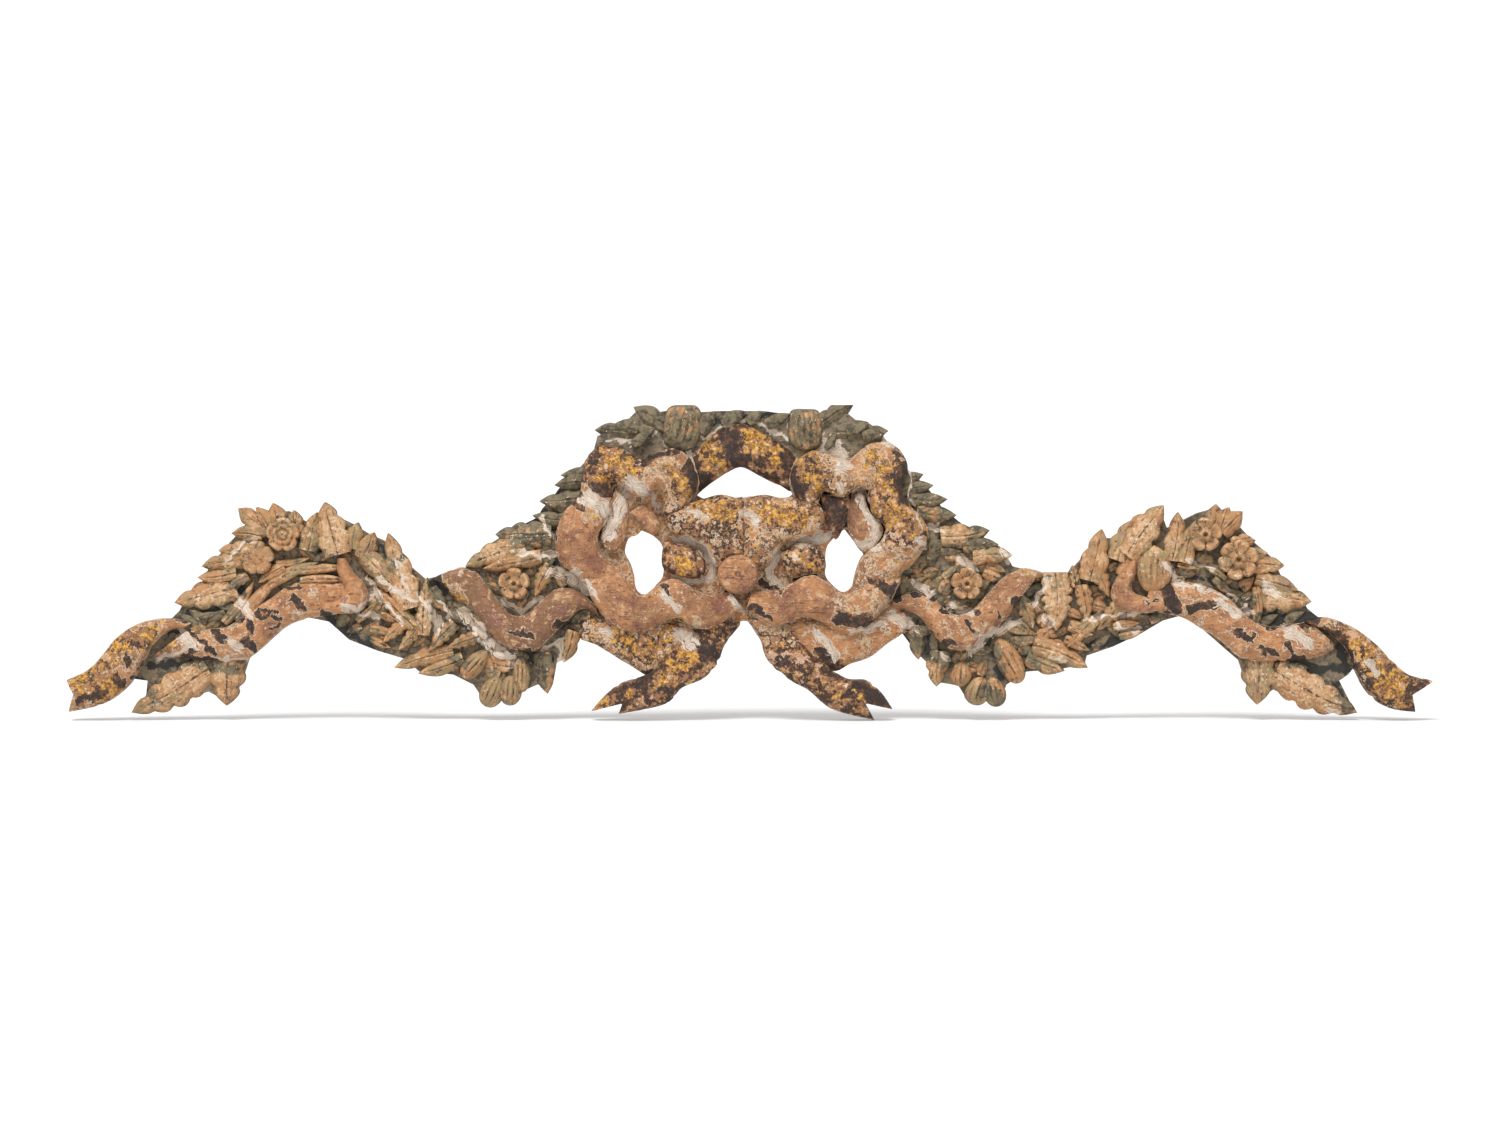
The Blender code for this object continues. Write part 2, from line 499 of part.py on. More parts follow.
plate("ground left", sized(GROUND_LEFT), GROUND_HIGH)
plate("ground right", sized(GROUND_RIGHT), GROUND_HIGH * 0.98)
plate("ground bow", sized(GROUND_BOW), BOW_GROUND_HIGH)
for name, (upper, lower, heights) in RIBBONS.items():
    ribbon(name, sized(upper), sized(lower), sized(heights), sized(NOTCHES.get(name, 0.0)))
for name, (outline, edge, crown) in PADS.items():
    pad(name, sized(outline), sized(edge), sized(crown))
for k, (start, end, width, high) in enumerate(PODS):
    pod("pod %d" % (k + 1), sized(start), sized(end), sized(width), sized(high))
for k, (x, z, radius, petals, high) in enumerate(FLOWERS):
    flower("flower %d" % (k + 1), sized(x), sized(z), sized(radius), petals, sized(high))
for k, (tip, base, width, high, teeth) in enumerate(LEAVES):
    leaf("leaf %d" % (k + 1), sized(tip), sized(base), sized(width), sized(high), teeth)
rings("button", sized(-12), sized(-1), (
    (BUTTON_RADIUS, BUTTON_HIGH - BUTTON_ROUND), (BUTTON_RADIUS - BUTTON_ROUND, BUTTON_HIGH),
    (BUTTON_RING * 1.4, BUTTON_HIGH - BUTTON_RING_STEP), (BUTTON_RING, BUTTON_HIGH + BUTTON_RING_STEP),
    (BUTTON_HOLE, BUTTON_HIGH + BUTTON_RING_STEP), (BUTTON_HOLE * 0.9, BUTTON_HIGH - BUTTON_RING)),
    BUTTON_SIDES)

front = LENGTH * 0.05
reach = LENGTH * 0.56
for name, outline in HOLES.items():
    plate(name, sized(outline), front, cuts, -front, HOLE_STEP)
plate("wall plane", ((-reach, -reach), (reach, -reach), (reach, reach), (-reach, reach)), 0.0, cuts, -front)

# The board itself: all the forms grown together, then pierced and planed flat at the back
board = carving.objects[0]
carving.objects.unlink(board)
bpy.context.scene.collection.objects.link(board)
board.name = "carved_crest"
board.hide_render = False
joined = board.modifiers.new("forms grown together", "BOOLEAN")
joined.operation = "UNION"
joined.operand_type = "COLLECTION"
joined.collection = carving
joined.solver = "MANIFOLD"
planed = board.modifiers.new("pierced and planed", "BOOLEAN")
planed.operation = "DIFFERENCE"
planed.operand_type = "COLLECTION"
planed.collection = cuts
planed.solver = "MANIFOLD"
smoothed = board.modifiers.new("slivers between the forms taken off", "DECIMATE")
smoothed.decimate_type = "COLLAPSE"
smoothed.ratio = FACETS_KEPT
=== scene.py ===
# %% [markdown]
# This file dresses one carved wooden wall crest: a ribbon bow over a garland, with waving ends.
# It was cut by hand from one board, then coated with gesso, painted olive on the leaves and
# gilded over dark bole on the ribbons. Most of those coats have since flaked away.
# The plain solid of the frame has every form in the right place but none of the fine cutting.
# So each form is cut again here from a fine blank, in the same place and at the same height.

# %% Load the frame
import math
import bmesh
import bpy
import numpy as np
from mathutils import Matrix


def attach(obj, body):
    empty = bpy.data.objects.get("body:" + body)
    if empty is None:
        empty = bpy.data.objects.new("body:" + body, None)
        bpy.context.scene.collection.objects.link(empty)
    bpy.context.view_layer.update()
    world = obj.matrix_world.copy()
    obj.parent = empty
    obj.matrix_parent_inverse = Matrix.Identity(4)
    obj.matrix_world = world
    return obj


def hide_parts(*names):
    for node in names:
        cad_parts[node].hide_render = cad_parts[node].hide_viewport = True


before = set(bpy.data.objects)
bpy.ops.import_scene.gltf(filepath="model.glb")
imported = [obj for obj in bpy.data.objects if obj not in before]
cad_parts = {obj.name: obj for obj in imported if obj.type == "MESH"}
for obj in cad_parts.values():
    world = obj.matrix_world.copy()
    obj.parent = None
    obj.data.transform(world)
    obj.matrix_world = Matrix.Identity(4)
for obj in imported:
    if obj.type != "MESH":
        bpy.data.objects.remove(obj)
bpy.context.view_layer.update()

# %% [markdown]
# The camera looks from straight in front, a little above the middle. A long lens from six metres
# keeps the crest nearly free of perspective. One and a half metres of width fill the picture, so
# one picture point of the photograph is one millimetre.

# %% Camera
MM = 0.001
DISTANCE = 6.0
PICTURE_WIDTH = 1.5
EYE_TILT = math.radians(1.5)
AIM_HIGH = 0.0095
eye = bpy.data.cameras.new("front view")
eye.sensor_width = 36.0
eye.lens = eye.sensor_width * DISTANCE / PICTURE_WIDTH
eye.clip_end = 60.0
camera = bpy.data.objects.new("front view", eye)
camera.location = (0.0, -DISTANCE * math.cos(EYE_TILT), AIM_HIGH + DISTANCE * math.sin(EYE_TILT))
camera.rotation_euler = (math.pi / 2 - EYE_TILT, 0.0, 0.0)
bpy.context.scene.collection.objects.link(camera)
bpy.context.scene.camera = camera
print("lens", round(eye.lens, 1), "mm")

# %% [markdown]
# These tables say where each carved form lies. They are in millimetres: x along the crest,
# z up, and height out from the flat back. They are the same places as in the plain solid,
# so the fine cutting lands on it exactly. A ribbon is its upper edge, its lower edge and the
# height of its crown along the way. A leaf is its tip, its base, its width, height and teeth.

# %% Where the forms lie
# The plain ground the leaves are carved on, left garland, bow, right garland
GROUND_LEFT = (
    (-578, -47), (-569, -38), (-560, -20), (-547, -10), (-541, 2), (-527, 15), (-519, 30), (-505, 44),
    (-499, 58), (-480, 60), (-460, 61), (-446, 52), (-430, 46), (-413, 56), (-396, 48), (-380, 38),
    (-366, 32), (-352, 22), (-338, 5), (-324, -7), (-300, -1), (-278, 7), (-262, 27), (-238, 42),
    (-212, 55), (-207, 64), (-196, 76), (-186, 90), (-172, 102), (-156, 120), (-120, 60), (-130, -56),
    (-158, -69), (-172, -65), (-180, -85), (-193, -90), (-197, -112), (-212, -112), (-226, -118),
    (-250, -128), (-268, -124), (-276, -112), (-296, -102), (-330, -99), (-345, -86), (-372, -78),
    (-400, -67), (-420, -49), (-440, -45), (-460, -51), (-480, -69), (-500, -86), (-508, -110),
    (-524, -128), (-540, -119), (-556, -124), (-570, -132), (-604, -136), (-601, -108), (-616, -106),
    (-600, -78), (-585, -60))
GROUND_RIGHT = (
    (578, -48), (566, -44), (556, -36), (546, -16), (530, -4), (522, 14), (503, 30), (488, 46), (486, 58),
    (464, 64), (446, 59), (432, 52), (416, 44), (410, 60), (394, 56), (378, 47), (362, 34), (350, 34),
    (334, 17), (322, 4), (312, -5), (290, -1), (262, 6), (252, 24), (234, 34), (212, 48), (192, 64),
    (176, 86), (158, 102), (150, 118), (110, 60), (120, -56), (152, -61), (166, -80), (182, -95),
    (190, -110), (208, -113), (216, -126), (250, -128), (256, -112), (276, -99), (312, -96), (334, -92),
    (336, -83), (362, -74), (390, -61), (412, -48), (430, -43), (450, -55), (474, -76), (488, -88),
    (496, -112), (508, -126), (522, -117), (546, -128), (570, -137), (596, -142), (598, -128), (588, -108),
    (597, -102), (603, -94), (594, -76), (585, -62))
GROUND_BOW = (
    (-158, 112), (-152, 136), (-126, 148), (-114, 160), (-98, 159), (-84, 161), (-48, 160), (-30, 161),
    (14, 161), (36, 158), (72, 158), (98, 158), (108, 150), (130, 142), (134, 134), (152, 114), (150, 20),
    (150, -40), (100, -70), (40, -56), (-6, -48), (-40, -56), (-100, -70), (-150, -40), (-165, 20))

# The ribbons: upper edge, lower edge, then crown heights spread evenly along the run
RIBBONS = {
    "wing left": (
        ((-556, -54), (-540, -56), (-520, -53), (-497, -37), (-478, -26), (-458, -12), (-435, -9),
         (-405, -8)),
        ((-596, -84), (-570, -85), (-540, -88), (-505, -87), (-485, -74), (-468, -58), (-445, -47),
         (-400, -40)),
        (26, 32, 34, 36, 34, 30)),
    "wing right": (
        ((556, -48), (540, -52), (520, -54), (498, -46), (480, -28), (458, -15), (435, -10), (400, -8)),
        ((587, -75), (565, -85), (530, -88), (492, -86), (468, -67), (450, -56), (428, -44), (392, -38)),
        (26, 32, 35, 36, 34, 30)),
    "scroll left": (
        ((-402, 15), (-395, 0), (-385, -10), (-380, -25), (-387, -38), (-404, -41), (-424, -40)),
        ((-412, 14), (-412, 4), (-408, -6), (-404, -14), (-406, -22), (-412, -27), (-424, -28)),
        (30, 36, 38, 34)),
    "scroll right": (
        ((378, 15), (365, -5), (359, -22), (366, -36), (384, -40), (412, -40)),
        ((387, 13), (384, -3), (380, -12), (383, -20), (394, -24), (412, -26)),
        (30, 36, 38, 34)),
    "swag left": (
        ((-317, -6), (-300, 2), (-285, 5), (-270, -2), (-252, -26), (-238, -42), (-222, -41), (-208, -28),
         (-194, -17), (-178, -16), (-156, -28)),
        ((-302, -12), (-296, -26), (-284, -31), (-270, -46), (-250, -69), (-230, -78), (-214, -78),
         (-200, -66), (-182, -48), (-166, -36), (-150, -44)),
        (24, 33, 36, 40, 40, 34, 28)),
    "swag right": (
        ((145, -22), (165, -19), (180, -22), (192, -34), (205, -42), (220, -38), (234, -24), (250, -7),
         (266, 3), (282, 3), (305, -5)),
        ((140, -38), (154, -38), (168, -43), (182, -61), (197, -75), (214, -77), (232, -66), (258, -43),
         (274, -22), (284, -9), (300, -11)),
        (28, 34, 40, 40, 36, 33, 24)),
    "tail end left": (
        ((-556, -50), (-575, -46), (-605, -49), (-630, -64), (-645, -82), (-660, -97), (-681, -107)),
        ((-566, -56), (-580, -59), (-596, -74), (-606, -94), (-622, -115), (-645, -131), (-679, -139)),
        (26, 36, 40, 38, 34)),
    "tail end right": (
        ((552, -48), (575, -45), (600, -54), (622, -70), (640, -88), (657, -102), (681, -108)),
        ((562, -53), (577, -61), (594, -76), (603, -98), (618, -122), (637, -135), (663, -139)),
        (26, 36, 40, 38, 34)),
    "crown arch": (
        ((-62, 117), (-45, 132), (-28, 144), (-8, 148), (12, 140), (32, 129), (52, 117)),
        ((-56, 74), (-44, 85), (-28, 97), (-8, 105), (12, 95), (28, 88), (46, 76)),
        (30, 36, 39, 36, 30)),
    "loop left": (
        ((-150, 128), (-163, 115), (-167, 96), (-170, 78), (-184, 62), (-193, 40), (-193, 20), (-186, 7),
         (-172, -4), (-160, -20)),
        ((-136, 112), (-139, 98), (-138, 85), (-137, 68), (-141, 53), (-150, 40), (-150, 24), (-140, 11),
         (-128, 0), (-120, -12)),
        (36, 42, 46, 46, 42, 38)),
    "loop right": (
        ((138, 131), (151, 120), (157, 104), (151, 82), (160, 68), (173, 52), (178, 36), (168, 16),
         (150, -3), (134, -20)),
        ((122, 112), (123, 100), (119, 88), (117, 72), (124, 55), (134, 46), (130, 32), (113, 18),
         (105, 0), (101, -20)),
        (36, 42, 46, 46, 42, 38)),
    "bulb left": (
        ((-150, 127), (-128, 124), (-112, 115), (-102, 114), (-88, 122), (-74, 124), (-60, 114), (-52, 96),
         (-54, 80), (-62, 66)),
        ((-152, 96), (-138, 90), (-126, 86), (-118, 79), (-108, 76), (-98, 82), (-90, 83), (-88, 76),
         (-87, 68), (-88, 58)),
        (38, 44, 47, 47, 42)),
    "bulb right": (
        ((138, 131), (118, 128), (105, 118), (94, 113), (80, 118), (64, 122), (48, 113), (40, 98),
         (42, 82), (50, 68)),
        ((148, 96), (132, 86), (118, 82), (110, 85), (102, 80), (92, 75), (82, 78), (74, 81),
         (70, 74), (70, 62)),
        (38, 44, 47, 47, 42)),
    "lower band left": (
        ((-164, -4), (-150, 3), (-138, 4), (-122, -8), (-115, -19), (-106, -23), (-90, -11), (-74, -6),
         (-56, -16), (-42, -22), (-20, -18)),
        ((-158, -26), (-152, -36), (-142, -48), (-126, -57), (-106, -59), (-90, -52), (-73, -45),
         (-56, -54), (-42, -56), (-28, -50), (-8, -34)),
        (40, 44, 43, 46, 45, 40)),
    "lower band right": (
        ((2, -18), (24, -18), (40, -11), (58, -2), (72, -6), (88, -18), (97, -21), (110, -14), (126, -2),
         (150, -4)),
        ((-4, -36), (10, -48), (24, -54), (40, -49), (55, -44), (72, -50), (88, -59), (106, -62),
         (122, -50), (138, -28)),
        (40, 45, 46, 43, 44, 40)),
    "tail left": (
        ((-58, -50), (-76, -74), (-100, -100), (-129, -111), (-145, -123), (-158, -138)),
        ((-8, -50), (-25, -72), (-32, -90), (-46, -105), (-68, -115), (-85, -131), (-131, -141)),
        (32, 38, 40, 38, 34)),
    "tail right": (
        ((40, -50), (56, -74), (74, -91), (96, -106), (116, -108), (131, -120), (142, -136)),
        ((-4, -46), (9, -66), (18, -88), (38, -106), (58, -117), (82, -136), (124, -147)),
        (32, 38, 40, 38, 34)),
}
NOTCHES = {"tail end left": 7.0, "tail end right": 13.0, "tail left": 20.0, "tail right": 22.0}

# Swelling forms: outline, edge height, crown height
PADS = {
    "knot lobe left": (
        ((-6, 16), (-6, 69), (-16, 73), (-30, 76), (-46, 72), (-64, 67), (-84, 58), (-78, 43), (-58, 34),
         (-44, 26), (-34, 8)), 34, 46),
    "knot lobe right": (
        ((-6, 16), (-6, 69), (3, 74), (16, 76), (30, 73), (46, 74), (64, 70), (74, 56), (66, 42),
         (48, 35), (32, 28), (14, 8)), 34, 46),
    "pillow left": (((-86, 32), (-62, 27), (-48, 20), (-45, 0), (-58, -6), (-86, 4)), 30, 39),
    "pillow right": (((30, 20), (48, 30), (64, 27), (74, 16), (74, 2), (58, -2), (38, -4)), 30, 39),
    "fold left": (((-134, 84), (-122, 70), (-122, 52), (-124, 36), (-134, 20), (-148, 30), (-146, 48),
                   (-140, 66)), 30, 35),
    "fold right": (((112, 82), (119, 62), (132, 46), (129, 31), (114, 20), (104, 30), (97, 48),
                    (99, 72)), 30, 35),
    "wedge left": (((-120, 60), (-108, 67), (-98, 62), (-89, 46), (-97, 38), (-108, 48)), 30, 37),
    "wedge right": (((70, 78), (97, 77), (98, 60), (92, 43), (85, 33), (77, 48)), 32, 40),
    "flank left": (((-168, -46), (-170, -65), (-157, -70), (-140, -80), (-122, -91), (-92, -104),
                    (-60, -74), (-56, -50), (-120, -46)), 22, 31),
    "flank right": (((152, -36), (158, -52), (152, -61), (138, -70), (120, -84), (100, -91), (80, -98),
                     (42, -78), (38, -50), (110, -46)), 22, 32),
    "scroll bud": (((402, 28), (388, 16), (385, -2), (394, -18), (410, -18), (420, -2), (416, 18)), 25, 35),
    "nut top left": (((-86, 128), (-86, 152), (-80, 165), (-66, 167), (-52, 165), (-47, 148), (-54, 126),
                      (-70, 120)), 24, 36),
    "nut top right": (((38, 128), (38, 152), (42, 162), (55, 163), (68, 161), (72, 146), (70, 126),
                       (54, 120)), 24, 36),
}

# Buds, seed pods and the small round lobes: blunt end, pointed end, width, height
PODS = (
    ((-287, -105), (-262, -78), 20, 30), ((-228, -120), (-228, -82), 18, 29),
    ((-264, -134), (-250, -104), 24, 27), ((-240, -133), (-238, -102), 22, 28),
    ((270, -110), (246, -66), 25, 31), ((210, -114), (211, -88), 22, 28),
    ((222, -132), (232, -104), 25, 28), ((248, -134), (240, -104), 22, 27),
)

# Flowers: x, z, radius, petals, height
FLOWERS = (
    (-465, 38, 17, 5, 34), (-491, 15, 17, 5, 33), (-235, -11, 16, 5, 34),
    (216, -11, 16, 5, 34), (453, 38, 17, 5, 34), (486, 13, 20, 6, 35),
)

# Leaves: tip, base, width, height of the midrib, teeth down each side
LEAVES = (
    ((-574, -30), (-512, -14), 27, 25, 3), ((-551, -5), (-512, 0), 16, 25, 1),
    ((-547, 6), (-502, 12), 19, 25, 2), ((-530, 22), (-496, 20), 18, 26, 2),
    ((-517, 39), (-486, 36), 16, 26, 1), ((-510, 64), (-478, 42), 22, 27, 2),
    ((-492, 65), (-476, 40), 18, 28, 1), ((-476, 69), (-468, 42), 20, 27, 1),
    ((-455, 62), (-452, 40), 18, 27, 1), ((-432, 60), (-440, 22), 21, 29, 2),
    ((-424, 70), (-410, 18), 31, 31, 3), ((-391, 50), (-396, 24), 18, 27, 1),
    ((-375, 40), (-386, 14), 20, 27, 1), ((-361, 39), (-340, -36), 27, 31, 3),
    ((-372, -15), (-334, -54), 14, 31, 0), ((-322, -5), (-326, -62), 16, 31, 0),
    ((-366, -70), (-338, -46), 13, 29, 0), ((-350, -77), (-328, -50), 12, 30, 0),
    ((-320, -78), (-294, -50), 14, 30, 0), ((-302, -76), (-270, -64), 13, 29, 0),
    ((-355, -95), (-296, -78), 18, 25, 2), ((-331, -101), (-286, -86), 16, 25, 1),
    ((-522, -19), (-500, -3), 11, 27, 0), ((-490, -10), (-464, 6), 13, 29, 0),
    ((-214, -24), (-198, 8), 15, 29, 0), ((-617, -140), (-540, -96), 33, 24, 4),
    ((-522, -133), (-520, -86), 33, 24, 2), ((-254, 38), (-198, 38), 24, 27, 3),
    ((-217, 57), (-178, 52), 15, 26, 1), ((-284, 6), (-224, 26), 24, 27, 3),
    ((-266, 4), (-208, 16), 16, 29, 1), ((-210, 71), (-162, 76), 18, 26, 2),
    ((-195, 87), (-154, 90), 16, 26, 1), ((-189, 97), (-148, 100), 14, 26, 1),
    ((-202, -121), (-208, -80), 20, 26, 2), ((-186, -90), (-176, -58), 15, 26, 1),
    ((-155, 142), (-106, 138), 19, 28, 2), ((-116, 165), (-82, 146), 19, 28, 1),
    ((-128, 152), (-96, 140), 14, 28, 1), ((-396, 26), (-356, -14), 22, 29, 1),
    ((-300, -40), (-318, -16), 14, 29, 0), ((-280, -40), (-256, -56), 12, 28, 0),
    ((103, 167), (70, 148), 18, 28, 1), ((138, 141), (84, 140), 19, 28, 3),
    ((118, 150), (86, 142), 12, 27, 1), ((173, 98), (142, 90), 14, 26, 1),
    ((183, 87), (148, 80), 14, 26, 1), ((197, 73), (156, 74), 16, 26, 1),
    ((206, 57), (166, 60), 18, 26, 1), ((239, 42), (190, 36), 22, 28, 2),
    ((248, 28), (212, 27), 16, 27, 1), ((262, 17), (222, 16), 18, 27, 1),
    ((186, -114), (190, -78), 21, 26, 2), ((168, -87), (164, -58), 15, 26, 1),
    ((337, -95), (282, -72), 22, 26, 2), ((314, -98), (276, -84), 18, 26, 1),
    ((305, -58), (304, 0), 28, 32, 0), ((336, -50), (330, -12), 15, 30, 0),
    ((358, -24), (340, 14), 16, 31, 0), ((322, 7), (326, -14), 12, 27, 0),
    ((351, 43), (338, -8), 25, 31, 2), ((381, 52), (366, 12), 24, 29, 2),
    ((412, 67), (374, 18), 31, 31, 3), ((427, 60), (420, 12), 21, 31, 2),
    ((444, 52), (432, 10), 18, 31, 1), ((465, 68), (462, 42), 20, 27, 1),
    ((478, 65), (468, 40), 17, 28, 1), ((491, 61), (470, 40), 20, 27, 1),
    ((504, 32), (480, 26), 18, 27, 1), ((516, 20), (488, 14), 16, 27, 1),
    ((533, 7), (494, 8), 19, 27, 2), ((547, -18), (504, -6), 18, 26, 1),
    ((560, -29), (502, -22), 28, 25, 3), ((606, -140), (524, -98), 34, 24, 4),
    ((506, -132), (508, -84), 31, 24, 2), ((506, -60), (506, -16), 11, 28, 0),
    ((282, -56), (268, -24), 15, 28, 0), ((345, -58), (372, -28), 16, 29, 0),
    ((390, 36), (372, -4), 20, 29, 1), ((316, -74), (344, -46), 15, 29, 0),
)

# The pierced holes beside and above the knot
HOLES = {
    "hole above": ((-53, 77), (-44, 85), (-33, 93), (-20, 101), (-8, 105), (10, 96), (24, 89), (38, 84),
                   (43, 79), (36, 74), (24, 74), (10, 76), (3, 74), (-6, 69), (-15, 73), (-30, 76),
                   (-44, 73)),
    "hole left": ((-108, 42), (-97, 37), (-88, 28), (-86, 14), (-87, -4), (-95, -14), (-99, -21),
                  (-108, -22), (-114, -16), (-116, -2), (-120, 10), (-125, 20), (-121, 34), (-113, 37)),
    "hole right": ((94, 43), (101, 34), (113, 18), (108, 6), (104, -4), (102, -14), (94, -20),
                   (87, -17), (76, -5), (75, 6), (76, 24), (82, 33), (89, 40)),
}
print(len(RIBBONS), "ribbons,", len(LEAVES), "leaves,", len(FLOWERS), "flowers,", len(PODS), "pods")

# %% [markdown]
# A carver follows a drawn line with the gouge. Here a line is a few chosen points, and this
# helper draws the smooth curve through them. Others read a height along the way and make the
# small unevenness that a hand tool leaves, as a soft noise with a size in millimetres.

# %% Smooth lines and the unevenness of hand work


def curve_through(points, count):
    """A smooth line through the points, as `count` evenly spaced points."""
    ends = [points[0]] + list(points) + [points[-1]]
    t = (np.arange(12) / 12.0)[:, None]
    fine = []
    for p, q, r, s in zip(ends, ends[1:], ends[2:], ends[3:]):
        p, q, r, s = map(np.array, (p, q, r, s))
        fine.append(0.5 * (2 * q + (r - p) * t + (2 * p - 5 * q + 4 * r - s) * t ** 2
                           + (3 * q - p - 3 * r + s) * t ** 3))
    fine = np.vstack(fine + [np.array([points[-1]], dtype=float)])
    reach = np.concatenate([[0.0], np.cumsum(np.hypot(*np.diff(fine, axis=0).T))])
    want = np.linspace(0.0, reach[-1], count)
    return np.stack([np.interp(want, reach, fine[:, 0]), np.interp(want, reach, fine[:, 1])], 1)


def along(values, share):
    """Read a row of values, evenly spread from 0 to 1, with soft steps between them."""
    values = np.array(values, dtype=float)
    place = np.clip(share, 0, 1) * (len(values) - 1)
    low = np.minimum(place.astype(int), len(values) - 2)
    turn = place - low
    turn = turn * turn * (3 - 2 * turn)
    return values[low] + (values[low + 1] - values[low]) * turn


def uneven(x, z, size, seed):
    """Soft noise from -1 to 1 whose humps are about `size` millimetres across."""
    net = np.random.default_rng(seed).uniform(-1, 1, (256, 256))
    px, pz = x / size + 97.3, z / size + 61.7
    ix, iz = np.floor(px).astype(int), np.floor(pz).astype(int)
    fx, fz = px - ix, pz - iz
    fx, fz = fx * fx * (3 - 2 * fx), fz * fz * (3 - 2 * fz)
    a, b = net[ix % 256, iz % 256], net[(ix + 1) % 256, iz % 256]
    c, d = net[ix % 256, (iz + 1) % 256], net[(ix + 1) % 256, (iz + 1) % 256]
    return (a + (b - a) * fx) * (1 - fz) + (c + (d - c) * fx) * fz


print("a curve of 5 points:", curve_through(((0, 0), (10, 4), (20, 0)), 5).round(1).tolist())

# %% [markdown]
# Every form starts from a blank, as a carver starts from a block. A ribbon or a leaf starts
# from a flat sheet of squares, and a flower, pod or knot from a disc cut into rings. The rim is
# then pulled down and closed underneath, so each blank is a closed body.
# A blank is made once, with the edit tools, and each form is cut from its own copy.

# %% Blanks


def close_under():
    """Pull the rim of the open sheet down by one and close it with one face."""
    bpy.ops.mesh.select_mode(type="EDGE")
    bpy.ops.mesh.select_all(action="DESELECT")
    bpy.ops.mesh.select_non_manifold()
    bpy.ops.mesh.extrude_region_move(TRANSFORM_OT_translate={"value": (0, 0, -1)})
    bpy.ops.mesh.edge_face_add()
    bpy.ops.mesh.select_all(action="SELECT")
    bpy.ops.mesh.normals_make_consistent(inside=False)
    bpy.ops.object.mode_set(mode="OBJECT")


def blank_sheet(long_way, cross_way):
    """A sheet of squares, one unit each way, with its rim closed underneath."""
    bpy.ops.object.select_all(action="DESELECT")
    bpy.ops.mesh.primitive_grid_add(x_subdivisions=long_way, y_subdivisions=cross_way, size=1)
    bpy.ops.object.mode_set(mode="EDIT")
    close_under()
    return bpy.context.object


def blank_disc(around, ringed):
    """A disc of radius one, inset into rings, with its rim closed underneath."""
    bpy.ops.object.select_all(action="DESELECT")
    bpy.ops.mesh.primitive_circle_add(vertices=around, radius=1, fill_type="NGON")
    bpy.ops.object.mode_set(mode="EDIT")
    bpy.ops.mesh.select_all(action="SELECT")
    thick = math.cos(math.pi / around) / (ringed + 0.5)
    for _ in range(ringed):
        bpy.ops.mesh.inset(thickness=thick, depth=0)
    bpy.ops.mesh.poke()
    close_under()
    return bpy.context.object

# %% Cut a form from a copy of a blank
FORMS = {"ribbons": [], "leaves left": [], "leaves right": [], "flowers and pods": [], "ground": []}
BACK_GAP = 0.5
BACK_STEP, BACK_STEPS = 0.05, 31
TALLEST = 46.9
SIDE_MOST, LOWEST, HIGHEST = 680.8, -146.8, 167.0
STREAK_LONG, STREAK_WIDE = 11.0, 1.7


def rows_of(items, name):
    """One vector of each point or face of a mesh, a row each."""
    values = np.empty(len(items) * 3, dtype=np.float32)
    items.foreach_get(name, values)
    return values.reshape(-1, 3)


def volume(data):
    """Signed volume inside a closed mesh: below zero when its faces look inward."""
    data.calc_loop_triangles()
    corners = np.empty(len(data.loop_triangles) * 3, dtype=np.int32)
    data.loop_triangles.foreach_get("vertices", corners)
    a, b, c = rows_of(data.vertices, "co")[corners.reshape(-1, 3).T].astype(float)
    return float((a * np.cross(b, c)).sum() / 6)


def write_mark(data, name, values, kind="FLOAT"):
    """Store a number or a vector per point under a name the shader can read."""
    layer = data.attributes.new(name, kind, "POINT")
    values = values.astype(np.float32).ravel()
    layer.data.foreach_set("value" if kind == "FLOAT" else "vector", values)


def cut_from(blank, group, shape, tone=0.5, flat=False):
    """Cut one form from a copy of a blank. `shape` gives where each of its points goes to."""
    data = blank.data.copy()
    spots = rows_of(data.vertices, "co").astype(float)
    under = spots[:, 2] < -0.5
    x, high, z, marks = shape(spots[:, 0], spots[:, 1], under)
    x, z = np.clip(x, -SIDE_MOST, SIDE_MOST), np.clip(z, LOWEST, HIGHEST)
    high = np.minimum(high, TALLEST)
    if not flat:
        # Each underside is raised a little more than the last, so neighbours don't share a plane
        high = high + BACK_STEP * (len(FORMS[group]) % BACK_STEPS) * under
    data.vertices.foreach_set("co", (np.stack([x, -high, z], 1) * MM).astype(np.float32).ravel())
    if volume(data) < 0:
        data.flip_normals()
    even = np.zeros(len(spots))
    for name in ("groove", "kept"):
        write_mark(data, name, even + marks.get(name, 0.0))
    write_mark(data, "tone", even + tone)
    streaks = [marks["along"] / STREAK_LONG, marks["across"] / STREAK_WIDE, even + 7 * tone]
    write_mark(data, "lay", np.stack(streaks, 1), "FLOAT_VECTOR")
    made = bpy.data.objects.new("form", data)
    bpy.context.scene.collection.objects.link(made)
    FORMS[group].append(made)
    return made


leaf_blank = blank_sheet(32, 18)
print("leaf blank:", len(leaf_blank.data.polygons), "faces")

# %% [markdown]
# The ribbons are the largest forms. Their section is a soft dome with steep sides, and their
# crown rises and sinks where they twist and pass under one another. The edges are a little
# chipped, and the surface has the shallow facets of a wide gouge. Swallow tails have a notch.
# How much of the old gilding is left changes along each ribbon, so that is a row of shares.

